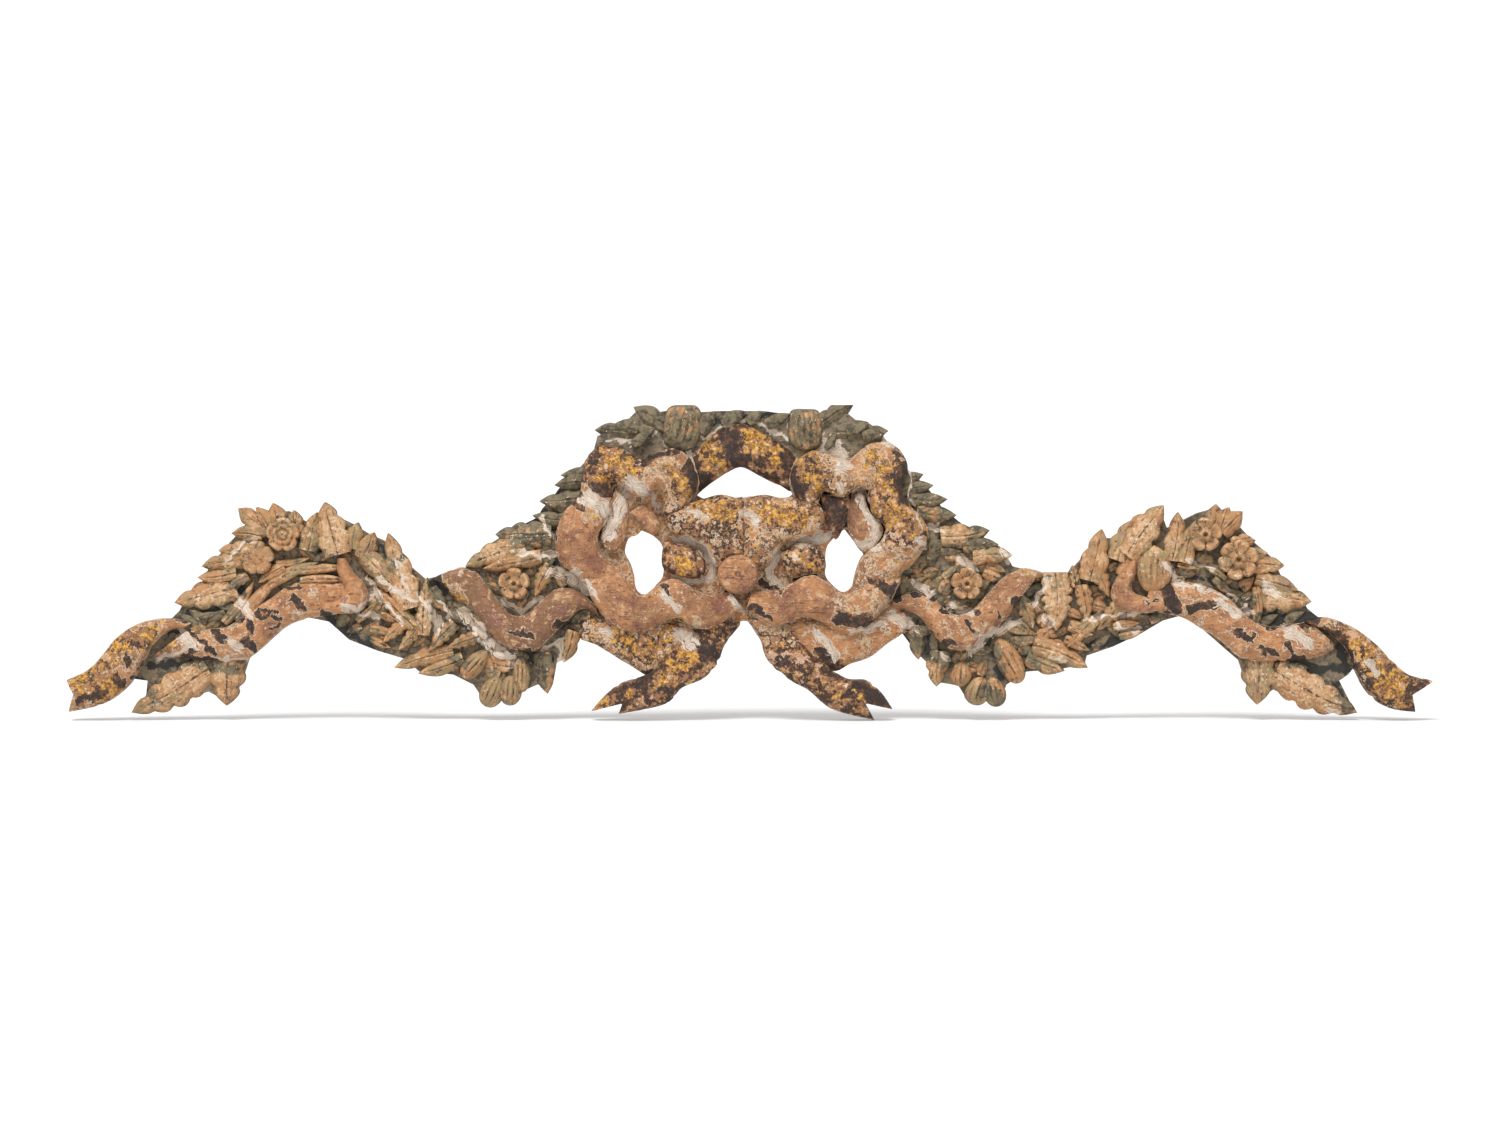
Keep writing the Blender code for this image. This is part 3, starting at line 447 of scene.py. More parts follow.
# %% Ribbons
RIBBON_DROP = 12.0
RIBBON_CELL = 1.6
RIBBON_ACROSS = 26
RIBBON_HALF = 22.0
CHIP_SIZE, CHIP_DEEP = 6.0, 3.0
FACET_SIZE, FACET_DEEP = 12.0, 1.0
TOOL_SIZE, TOOL_DEEP = 4.5, 0.4
KEPT = {
    "wing left": (0.5, 0.42, 0.36, 0.25, 0.32, 0.1), "wing right": (0.36, 0.28, 0.3, 0.3, 0.36, 0.4),
    "scroll left": (0.05, 0.05, 0.1), "scroll right": (0.05, 0.08, 0.1),
    "swag left": (0.45, 0.3, 0.12, 0.1, 0.3, 0.12, 0.08, 0.1),
    "swag right": (0.3, 0.3, 0.3, 0.34, 0.34, 0.3, 0.25, 0.2, 0.2),
    "tail end left": (0.3, 0.42, 0.4, 0.45, 0.4), "tail end right": (0.35, 0.5, 0.6, 0.6, 0.75),
    "crown arch": (0.95, 0.85, 0.95, 0.85, 1.0),
    "loop left": (0.62, 0.66, 0.5, 0.3, 0.08, 0.05, 0.05, 0.1),
    "loop right": (0.6, 0.62, 0.55, 0.7, 0.6, 0.42, 0.42, 0.45),
    "bulb left": (0.6, 0.6, 0.45, 0.35, 0.5, 0.55), "bulb right": (0.4, 0.35, 0.45, 0.55, 0.55, 0.5),
    "lower band left": (0.1, 0.16, 0.05, 0.1, 0.3, 0.32, 0.12, 0.1),
    "lower band right": (0.25, 0.2, 0.1, 0.25, 0.42, 0.42, 0.4),
    "tail left": (0.65, 0.75, 0.85, 0.95), "tail right": (0.45, 0.7, 0.8, 0.95)}
TONE = {"swag left": 1.5, "loop left": 0.3, "scroll left": 0.2, "wing right": 0.1, "wing left": 0.3}


def ribbon(name, upper, lower, heights, notch, kept):
    """Cut one ribbon between its two edges."""
    length = 0.5 * sum(math.dist(p, q) for edge in (upper, lower) for p, q in zip(edge, edge[1:]))
    steps = max(12, round(length / RIBBON_CELL))
    above, below = curve_through(upper, steps + 1), curve_through(lower, steps + 1)
    blank = blank_sheet(steps, RIBBON_ACROSS)
    middle = (above + below) / 2
    end = middle[-1] - middle[max(0, steps - 8)]
    end = end / np.hypot(*end)
    seed = sum(map(ord, name))

    def shape(u, v, low):
        row = np.rint((u + 0.5) * steps).astype(int)
        t = 0.5 - 0.5 * np.cos(np.pi * (v + 0.5))
        side = 2 * t - 1
        spot = above[row] + (below[row] - above[row]) * t[:, None]
        x, z = spot[:, 0], spot[:, 1]
        chip = np.clip(uneven(x, z, CHIP_SIZE, seed) - 0.35, 0, 1) * CHIP_DEEP * np.abs(side) ** 5
        spot = spot + ((above[row] + below[row]) / 2 - spot) * (chip / RIBBON_HALF)[:, None]
        if notch:
            near = np.clip(1 - (1 - (u + 0.5)) * steps * RIBBON_CELL / notch, 0, 1)
            spot = spot - end[None, :] * (notch * near * (1 - np.abs(side)))[:, None]
        x, z = spot[:, 0], spot[:, 1]
        high = along(heights, u + 0.5) - RIBBON_DROP * (1 - np.sqrt(1 - np.abs(side) ** 2.3))
        high = high + FACET_DEEP * uneven(x, z, FACET_SIZE, seed + 1)
        high = high + TOOL_DEEP * uneven(x, z, TOOL_SIZE, seed + 2) - chip
        wide = np.hypot(*(below[row] - above[row]).T)
        return x, np.where(low, BACK_GAP, high), z, {
            "groove": np.abs(side) ** 9, "kept": along(kept, u + 0.5),
            "along": (u + 0.5) * length, "across": t * wide}

    cut_from(blank, "ribbons", shape, TONE.get(name, 0.5))
    bpy.data.objects.remove(blank, do_unlink=True)


for name, (upper, lower, heights) in RIBBONS.items():
    ribbon(name, upper, lower, heights, NOTCHES.get(name, 0.0), KEPT[name])
print("ribbons cut:", len(FORMS["ribbons"]))

# %% [markdown]
# The knot lobes, pillows and folds are swellings inside a closed outline. A disc blank is
# stretched to that outline, and its height follows a dome. The nuts, pods and buds are the same
# with flutes cut along them, from a disc with fewer rings.

# %% Swelling forms
disc_blank = blank_disc(64, 18)
pod_blank = blank_disc(60, 16)
LOBE_GROWS = 1.05
FLUTE_CUT = 2.2
POD_RISE = 11
RIM_POINTS, POD_POINTS = 240, 16


def swelling(name, outline, edge, crown, group, flutes, kept):
    """Cut a dome inside a closed outline, with flutes that run up it when asked."""
    rim = curve_through(list(outline) + [outline[0]], RIM_POINTS + 1)[:-1]
    centre = rim.mean(0)
    if "lobe" in name:
        rim = centre + (rim - centre) * LOBE_GROWS
    seed = sum(map(ord, name))
    turn = np.arctan2(rim[:, 1] - centre[1], rim[:, 0] - centre[0])
    order = np.argsort(turn)
    turn, reach = turn[order], np.hypot(*(rim - centre).T)[order]
    axis = np.linalg.svd(rim - centre, full_matrices=False)[2][0]
    wide = np.abs((rim - centre) @ np.array((-axis[1], axis[0]))).max()
    long = np.abs((rim - centre) @ axis).max()

    def shape(a, b, low):
        r = np.clip(np.hypot(a, b), 0, 1)
        angle = np.arctan2(b, a)
        far = np.interp(angle, turn, reach, period=2 * math.pi)
        x, z = centre[0] + r * far * np.cos(angle), centre[1] + r * far * np.sin(angle)
        run = (x - centre[0]) * axis[0] + (z - centre[1]) * axis[1]
        over = -(x - centre[0]) * axis[1] + (z - centre[1]) * axis[0]
        high = edge + (crown - edge) * np.sqrt(1 - r ** 2.3)
        groove = r ** 9
        if flutes:
            meridian = over / wide / np.sqrt(np.clip(1.04 - (run / long) ** 2, 0.05, 1))
            wave = 0.5 + 0.5 * np.cos(2 * np.pi * flutes * meridian + seed)
            groove = wave ** 4 * np.clip(1.2 - r, 0, 1)
            high = high - FLUTE_CUT * groove
        high = high + 0.8 * uneven(x, z, 9.0, seed) + 0.35 * uneven(x, z, 4.0, seed + 5)
        return x, np.where(low, BACK_GAP, high), z, {
            "groove": groove, "kept": kept, "along": run, "across": over}

    blank = pod_blank if flutes else disc_blank
    cut_from(blank, group, shape, 0.5 + 0.5 * math.sin(seed))


PAD_KEPT = {
    "nut top left": 1.0, "nut top right": 0.95,
    "knot lobe left": 0.55, "knot lobe right": 0.5, "pillow left": 0.7, "pillow right": 0.6,
    "fold left": 0.0, "fold right": 0.0, "wedge left": 0.2, "wedge right": 0.8,
    "flank left": 0.5, "flank right": 0.35, "scroll bud": 0.0}
for name, (outline, edge, crown) in PADS.items():
    nut = name.startswith("nut") or name == "scroll bud"
    swelling(name, outline, edge, crown, "flowers and pods" if nut else "ribbons",
             3.0 if nut else 0.0, PAD_KEPT[name])

# %% Pods


def pod_outline(start, end, width):
    """The outline of a pod: blunt at the start, pointed at the end."""
    (x0, z0), (x1, z1) = start, end
    long = math.dist(start, end)
    ax, az = (x1 - x0) / long, (z1 - z0) / long
    spots = []
    for k in range(POD_POINTS):
        angle = 2 * math.pi * k / POD_POINTS
        far = 0.5 - 0.5 * math.cos(angle)
        half = 0.5 * width * math.sin(angle) * (1.12 - 0.24 * far)
        spots.append((x0 + ax * long * far - az * half, z0 + az * long * far + ax * half))
    return spots


for k, (start, end, width, high) in enumerate(PODS):
    outline = pod_outline(start, end, width)
    swelling("pod %d" % k, outline, high - POD_RISE, high, "flowers and pods", 2.0, 0.25)
print("swellings and pods:", len(PADS) + len(PODS))

# %% [markdown]
# The small flowers have cupped petals round a drilled eye. One is a rolled rose, and one is worn
# nearly flat. Each is a profile turned round its eye with a cut between petals, so the disc of
# the pods serves again. The button in the middle of the bow is a turned profile without cuts.

# %% Flowers
# A flower's profile from its eye to its rim: shares of the radius, and heights in mm
OPEN = ((0.0, 0.12, 0.15, 0.2, 0.30, 0.36, 0.43, 0.56, 0.74, 0.9, 1.0),
        (-3.6, -3.3, -0.4, 0.6, 0.4, -1.6, -3.6, -3.0, -1.0, -0.6, -4.5))
ROSE = ((0.0, 0.05, 0.09, 0.19, 0.27, 0.33, 0.44, 0.55, 0.63, 0.68, 0.82, 0.93, 1.0),
        (-1.4, -1.2, 0.4, 0.6, -1.6, -2.4, -0.4, -0.2, -2.4, -2.6, -1.2, -1.4, -4.8))
WORN = ((0.0, 0.1, 0.3, 0.45, 0.6, 0.8, 0.92, 1.0), (-1.8, -1.2, -0.5, -1.6, -0.8, -0.5, -1.4, -4.4))
PROFILES = {0: ROSE, 1: WORN}
PETAL_CUT = 2.4
FLOWER_BACK = 6.0


def flower(k, x0, z0, radius, petals, top):
    """Cut cupped petals round a ring with a drilled eye, or round a rolled or worn middle."""
    parts, rise = PROFILES.get(k, OPEN)
    depth = PETAL_CUT / 2 if k in PROFILES else PETAL_CUT

    def shape(a, b, low):
        r = np.hypot(a, b)
        angle = np.arctan2(b, a)
        swing = np.abs(np.cos((angle - 0.3) * petals / 2))
        rim = radius * (1 - 0.17 * (1 - swing) ** 2.2)
        x, z = x0 + r * rim * np.cos(angle), z0 + r * rim * np.sin(angle)
        high = top + np.interp(r, parts, rise)
        cut = (1 - swing) ** 4 * np.clip((r - 0.42) / 0.3, 0, 1)
        well = np.clip(-1.4 - np.interp(r, parts, rise), 0, 1) * (r < 0.9)
        high = high - depth * cut + 0.4 * uneven(x, z, 4.0, 40 + k)
        return x, np.where(low, FLOWER_BACK, high), z, {
            "groove": np.clip(cut * depth / PETAL_CUT + 0.7 * well + 0.5 * (r > 0.96), 0, 1),
            "kept": 0.25, "along": r * 20, "across": angle * 9}

    cut_from(pod_blank, "flowers and pods", shape, 0.2)


for k, row in enumerate(FLOWERS):
    flower(k, *row)
print("flowers:", len(FLOWERS))

# %% The button
BUTTON_X, BUTTON_Z, BUTTON_RADIUS = -12, -1, 20.0
BUTTON_PARTS = (0.0, 2.0, 2.6, 3.6, 4.6, 5.6, 8.0, 14.0, 18.0, 19.3, 20.0)
BUTTON_RISE = (42.5, 43.0, 45.6, 46.6, 46.2, 44.9, 45.3, 45.6, 44.6, 42.5, 38.0)


def button_shape(a, b, low):
    """The turned profile of the button in the middle of the bow."""
    r = np.hypot(a, b) * BUTTON_RADIUS
    angle = np.arctan2(b, a)
    x, z = BUTTON_X + r * np.cos(angle), BUTTON_Z + r * np.sin(angle)
    high = np.interp(r, BUTTON_PARTS, BUTTON_RISE) + 0.2 * uneven(x, z, 5.0, 91)
    groove = 0.45 * np.exp(-((r - 5.6) / 0.6) ** 2) + 0.6 * (r < 2.4) + np.clip((r - 19) * 0.7, 0, 1)
    return x, np.where(low, BACK_GAP, high), z, {
        "groove": groove, "kept": 0.22, "along": x, "across": z}


cut_from(disc_blank, "ribbons", button_shape, 0.3)
print("button:", 2 * BUTTON_RADIUS, "mm across")

# %% [markdown]
# The leaves are what the garland is made of. Each is a blade with cut teeth and a groove down
# its middle. Some have side veins, others long ridges that run to the tip. A blade is tilted a
# little to one side and its tip droops, so neighbours overlap as real leaves do.
# One fine blank is copied for every leaf and cut to its own row of the table.

# %% Leaves
TOOTH_CUT = 0.28
WIDER = 1.15
LEAF_DROOP, LEAF_EDGE, LEAF_SLOPE = 7.0, 5.0, 1.6
MIDRIB_CUT, VEIN_CUT = 1.6, 1.3
LEAF_BACK = 3.0


def leaf(k, tip, base, width, top, teeth, gauge=1.0, blank=leaf_blank):
    """Cut one leaf from base to tip. `gauge` makes small leaves shallower."""
    (tx, tz), (bx, bz) = tip, base
    long = math.dist(tip, base)
    ax, az = (tx - bx) / long, (tz - bz) / long
    random = np.random.default_rng(500 + k)
    bend = random.uniform(-0.05, 0.05) * long
    tilt = random.uniform(-2.6, 2.6) * gauge
    ridged = random.uniform(0, 1) < 0.6
    away = abs(tip[0])
    # More paint is left over the bow, near the middle and on the small shards
    kept = 0.10 + 0.3 * random.uniform(0, 1) ** 2 + 0.35 * (tip[1] > 112)
    kept = kept + 0.25 * (away < 330) + 0.2 * (gauge < 0.5)
    if away > 480:
        kept = kept - 0.15 if tip[1] > -60 else kept + 0.3
    elif away < 290 and tip[1] > 20:
        kept = kept + 0.5
    elif -450 < tip[0] < -290:
        kept = kept + 0.15
    veins = max(3, round(long / 8))
    if gauge == 1.0:
        width, teeth = width * WIDER, teeth or round(long / 9)

    def shape(a, b, low):
        t = 1 - (0.5 - a) ** 1.15
        side = np.sin(np.pi * b)
        spread = np.sin(np.pi * np.clip(0.24 + 0.76 * t, 0, 1)) ** 0.75
        spread = np.where(a > 0.4999, 0.0, spread)
        if teeth:
            saw = np.mod(t * (teeth + 0.5) + 0.5, 1.0)
            spread = spread * (1 - TOOTH_CUT * (1 - np.sin(np.pi * saw)) ** 1.3 * np.clip(t * 3, 0, 1))
        half = 0.5 * width * spread * side
        out = half * np.where(low, 0.9, 1.0) + bend * np.sin(np.pi * t)
        x, z = bx + ax * long * t - az * out, bz + az * long * t + ax * out
        flat = np.abs(half) / (0.5 * width)
        middle = np.exp(-(half / 1.0) ** 2) * np.clip((0.93 - t) * 6, 0, 1)
        if ridged:
            rib = np.exp(-((np.abs(side) - 0.42) / 0.10) ** 2)
            rib = rib + 0.7 * np.exp(-((np.abs(side) - 0.74) / 0.08) ** 2)
            rib = rib * np.clip((0.85 - t) * 4, 0, 1) * np.clip(t * 6, 0, 1)
        else:
            rib = (0.5 + 0.5 * np.cos(2 * np.pi * (t * veins - flat * 1.6))) ** 4
            rib = rib * np.clip(flat * 5, 0, 1) * np.clip((0.9 - np.abs(side)) * 8, 0, 1)
        rib = rib * np.clip((width - 6) / 8, 0, 1)
        fall = LEAF_DROOP * np.clip(t - 0.35, 0, 1) ** 1.5 + LEAF_EDGE * np.abs(side) ** 5
        high = top - gauge * (fall + LEAF_SLOPE * np.abs(side))
        high = high - gauge * (MIDRIB_CUT * middle + VEIN_CUT * rib) + tilt * side
        high = high + 0.6 * uneven(x, z, 6.0, 700 + k)
        return x, np.where(low, LEAF_BACK, high), z, {
            "groove": np.clip(middle + 0.6 * rib, 0, 1), "kept": kept,
            "along": long * t, "across": half}

    cut_from(blank, "leaves left" if tx < 0 else "leaves right", shape, random.uniform(0, 1))


for k, row in enumerate(LEAVES):
    leaf(k, *row)
print("leaves:", len(FORMS["leaves left"]), "left,", len(FORMS["leaves right"]), "right")

# %% [markdown]
# Between the large leaves the carver left small folds and shards of leaf. The folds beside the
# wings are placed one by one. The shards fill what ground is still bare: a net of one millimetre
# squares holds the height carved so far, and a shard goes where the net is still empty.

# %% A net of the heights carved so far
NET_X, NET_Z = (-700, 700), (-165, 185)


def cell(x, z):
    """The net square of a point."""
    return (np.clip((x - NET_X[0]).astype(int), 0, NET_X[1] - NET_X[0] - 1),
            np.clip((z - NET_Z[0]).astype(int), 0, NET_Z[1] - NET_Z[0] - 1))


def spots_of(mesh):
    """Places of a mesh's points, in millimetres: x, height, z."""
    spots = rows_of(mesh.vertices, "co") / MM
    return spots[:, 0], -spots[:, 1], spots[:, 2]


def height_net(meshes):
    """Highest point of the meshes over each square millimetre, with small gaps closed."""
    net = np.zeros((NET_X[1] - NET_X[0], NET_Z[1] - NET_Z[0]), dtype=np.float32)
    for mesh in meshes:
        x, high, z = spots_of(mesh)
        np.maximum.at(net, cell(x, z), high.astype(np.float32))
    for _ in range(2):
        near = [np.roll(net, shift, axis) for axis in (0, 1) for shift in (-1, 1)]
        low_side = np.minimum(np.maximum(near[0], near[1]), np.maximum(near[2], near[3]))
        net = np.where(net < low_side - 4, low_side, net)
    return net


print("net squares:", (NET_X[1] - NET_X[0]) * (NET_Z[1] - NET_Z[0]))

# %% Folds placed one by one
FOLD_GAUGE = 0.6
FOLDS = (
    ((-466, 4), (-512, -48), 13, 27), ((-494, -8), (-524, -50), 11, 26), ((-430, 10), (-478, -12), 12, 29),
    ((-400, 6), (-452, 2), 10, 28), ((-398, -8), (-448, -8), 9, 29), ((-438, 15), (-472, 9), 8, 26),
    ((-372, -30), (-392, -48), 9, 26), ((-352, -62), (-378, -56), 9, 26), ((-358, -75), (-378, -66), 8, 25),
    ((-345, -52), (-368, -42), 8, 27), ((466, -24), (428, -14), 15, 30), ((508, -48), (504, -14), 9, 28),
    ((446, 4), (426, 8), 6, 27), ((484, -24), (462, -6), 9, 27), ((342, -62), (318, -52), 13, 28),
    ((338, -78), (314, -66), 11, 27), ((388, -50), (362, -54), 10, 27), ((392, -58), (368, -64), 8, 26),
    ((452, 6), (474, -6), 8, 27), ((-530, -40), (-548, -44), 7, 24), ((-34, 161), (-50, 140), 15, 31),
    ((-6, 161), (-26, 146), 16, 31), ((12, 161), (-2, 149), 12, 30), ((40, 158), (16, 147), 13, 31),
    ((-96, 143), (-116, 127), 11, 33), ((118, 148), (96, 142), 13, 32), ((136, 140), (112, 136), 12, 32),
    ((-62, 158), (-66, 130), 8, 29), ((86, 142), (76, 124), 8, 29), ((-130, 148), (-112, 140), 10, 31))
for k, (tip, base, width, high) in enumerate(FOLDS):
    leaf(300 + k, tip, base, width, high, 0, FOLD_GAUGE)
print("folds:", len(FOLDS))

# %% Shards on the bare ground
SHARD_STEP, SHARD_GAUGE = 12.0, 0.45
SHARDS_X, SHARDS_Z = (-560, 560), (-140, 170)
BOW_WIDE, BOW_TOP = 150, 112
BARE = 5


def inside_outline(spots, outline):
    """Which points lie inside a closed outline, by the count of its edges to the right of each."""
    edge = np.array(outline, dtype=float)
    after = np.roll(edge, -1, 0)
    x, z = spots[:, None, 0], spots[:, None, 1]
    hit = (edge[:, 1] > z) != (after[:, 1] > z)
    at = (after[:, 0] - edge[:, 0]) * (z - edge[:, 1]) / (after[:, 1] - edge[:, 1] + 1e-9) + edge[:, 0]
    return (hit & (x < at)).sum(1) % 2 == 1


shard_blank = blank_sheet(13, 8)
taken = height_net([form.data for forms in FORMS.values() for form in forms])
chance = np.random.default_rng(77)
shards = 0
columns = int((SHARDS_X[1] - SHARDS_X[0]) / SHARD_STEP)
ranks = int((SHARDS_Z[1] - SHARDS_Z[0]) / SHARD_STEP)
for ix, iz in np.ndindex(columns, ranks):
    x = SHARDS_X[0] + SHARD_STEP * (ix + chance.uniform(-0.4, 0.4))
    z = SHARDS_Z[0] + SHARD_STEP * (iz + chance.uniform(-0.4, 0.4))
    long, width = chance.uniform(15, 25), chance.uniform(9, 14)
    lean = chance.normal(0.0, 0.5)
    if abs(x) < BOW_WIDE and z < BOW_TOP:
        continue
    outward = math.atan2(z + 40 if abs(x) > 330 else 30.0, x * 0.35)
    ax, az = math.cos(outward + lean), math.sin(outward + lean)
    reach = np.arange(-1, 1.01, 0.25) * long / 2
    body = np.array([(x + ax * r - az * s, z + az * r + ax * s)
                     for r in reach for s in (-width / 2, 0, width / 2)])
    inside = inside_outline(body, GROUND_LEFT) | inside_outline(body, GROUND_RIGHT)
    if inside.all() and taken[cell(np.array([x]), np.array([z]))][0] < BARE:
        tip, base = (x + ax * long / 2, z + az * long / 2), (x - ax * long / 2, z - az * long / 2)
        leaf(400 + shards, tip, base, width, chance.uniform(19.5, 22.5), 0, SHARD_GAUGE, shard_blank)
        shards += 1
print("shards:", shards)

# %% [markdown]
# Behind everything is the ground, the part of the board that was cut back between the forms.
# It is left rough from the gouge. A fine sheet of squares is closed underneath and made uneven
# on top. Boolean then cuts it to the outline and pierces the holes, as a fretsaw would.

# %% Ground
GROUND_CELL = 2.0
GROUND_SPARE = 8
HOLE_STEP = 4.0
CUT_LOW, CUT_TOP = -20, 60


def outline_body(name, outline, step=0.0):
    """A straight-sided body inside a closed outline, for cutting with."""
    if step:
        around = sum(math.dist(p, q) for p, q in zip(outline, outline[1:] + outline[:1]))
        outline = curve_through(list(outline) + [outline[0]], round(around / step) + 1)[:-1]
    body = bmesh.new()
    face = body.faces.new([body.verts.new((p[0] * MM, -CUT_LOW * MM, p[1] * MM)) for p in outline])
    grown = bmesh.ops.extrude_face_region(body, geom=[face])["geom"]
    moved = [part for part in grown if isinstance(part, bmesh.types.BMVert)]
    bmesh.ops.translate(body, verts=moved, vec=(0, (CUT_LOW - CUT_TOP) * MM, 0))
    bmesh.ops.recalc_face_normals(body, faces=body.faces)
    data = bpy.data.meshes.new(name)
    body.to_mesh(data)
    body.free()
    made = bpy.data.objects.new(name, data)
    bpy.context.scene.collection.objects.link(made)
    return made


def boolean(body, cutter, kind):
    """Apply a Boolean cut and take the cutter away."""
    step = body.modifiers.new("cut", "BOOLEAN")
    step.operation = kind
    step.solver = "MANIFOLD"
    step.object = cutter
    bpy.context.view_layer.objects.active = body
    bpy.ops.object.modifier_apply(modifier=step.name)
    bpy.data.objects.remove(cutter, do_unlink=True)


def ground(outline, base_high, seed, group="ground", back=0.3):
    """Cut a rough plate to an outline, and pierce it."""
    xs, zs = [p[0] for p in outline], [p[1] for p in outline]
    wide, tall = max(xs) - min(xs) + GROUND_SPARE, max(zs) - min(zs) + GROUND_SPARE
    blank = blank_sheet(round(wide / GROUND_CELL), round(tall / GROUND_CELL))
    mx, mz = (max(xs) + min(xs)) / 2, (max(zs) + min(zs)) / 2

    def shape(a, b, low):
        x, z = mx + a * wide, mz + b * tall
        high = base_high + 0.9 * uneven(x, z, 9.0, seed) + 0.6 * uneven(x / 3, z, 3.0, seed + 1)
        return x, np.where(low, back, high), z, {"kept": 0.42, "along": x, "across": z}

    made = cut_from(blank, group, shape, flat=True)
    boolean(made, outline_body("cutter", outline), "INTERSECT")
    for hole in HOLES.values():
        boolean(made, outline_body("hole", hole, HOLE_STEP), "DIFFERENCE")
    bpy.data.objects.remove(blank, do_unlink=True)


ground(GROUND_LEFT, base_high=17.0, seed=11)
ground(GROUND_RIGHT, base_high=16.6, seed=12)
ground(GROUND_BOW, base_high=24.0, seed=13, group="ribbons", back=0.0)
print("ground plates:", len(FORMS["ground"]))

# %% [markdown]
# The forms of each kind are joined into one piece, and shaded smooth up to the sharp cuts. The
# crest is one board, so these pieces ride together on its one body and stand for its one solid.

# %% Join the forms
PIECES = {}
for spare in (leaf_blank, shard_blank, disc_blank, pod_blank):
    bpy.data.objects.remove(spare, do_unlink=True)
for group, forms in FORMS.items():
    bpy.ops.object.select_all(action="DESELECT")
    for form in forms:
        form.select_set(True)
    bpy.context.view_layer.objects.active = forms[0]
    bpy.ops.object.join()
    piece = bpy.context.object
    piece.name = "crest_" + group.replace(" ", "_")
    piece.data.name = piece.name
    bpy.ops.object.shade_smooth_by_angle(angle=math.radians(50))
    PIECES[group] = piece
    print(piece.name, sum(len(p.vertices) - 2 for p in piece.data.polygons), "triangles")

# %% [markdown]
# Worn paint stays in the hollows and goes from the high places, and on the ribbons the same hollows
# get painted shade in the creases between forms. So the shader must know, at each point, whether it
# lies in a hollow. The heights of all the pieces are laid on the net, the net is softened, and each
# point is compared with it. A ribbon's outer flank has no crease beside it to hold dirt or painted
# shade, so it doesn't count as a hollow.

# %% Measure hollows and high places
NEAR, WIDE, RIM = 3, 9, 6
RIM_FROM, RIM_OVER = 0.68, 0.25


def soften(field, reach):
    """Mean over a square window of 2 * reach + 1 cells."""
    for axis in (0, 1):
        pad = [(0, 0), (0, 0)]
        pad[axis] = (reach + 1, reach)
        total = np.cumsum(np.pad(field, pad, mode="edge"), axis=axis)
        size = 2 * reach + 1
        field = (np.take(total, range(size, total.shape[axis]), axis)
                 - np.take(total, range(0, total.shape[axis] - size), axis)) / size
    return field


net = height_net([piece.data for piece in PIECES.values()])
share = (net > 1).astype(np.float32)
inside_rim = np.clip((soften(share, RIM) - RIM_FROM) / RIM_OVER, 0, 1)
small = soften(net, NEAR) / np.maximum(soften(share, NEAR), 0.05)
broad = soften(net, WIDE) / np.maximum(soften(share, WIDE), 0.05)
print("net of", net.shape, "highest", round(float(net.max()), 1))
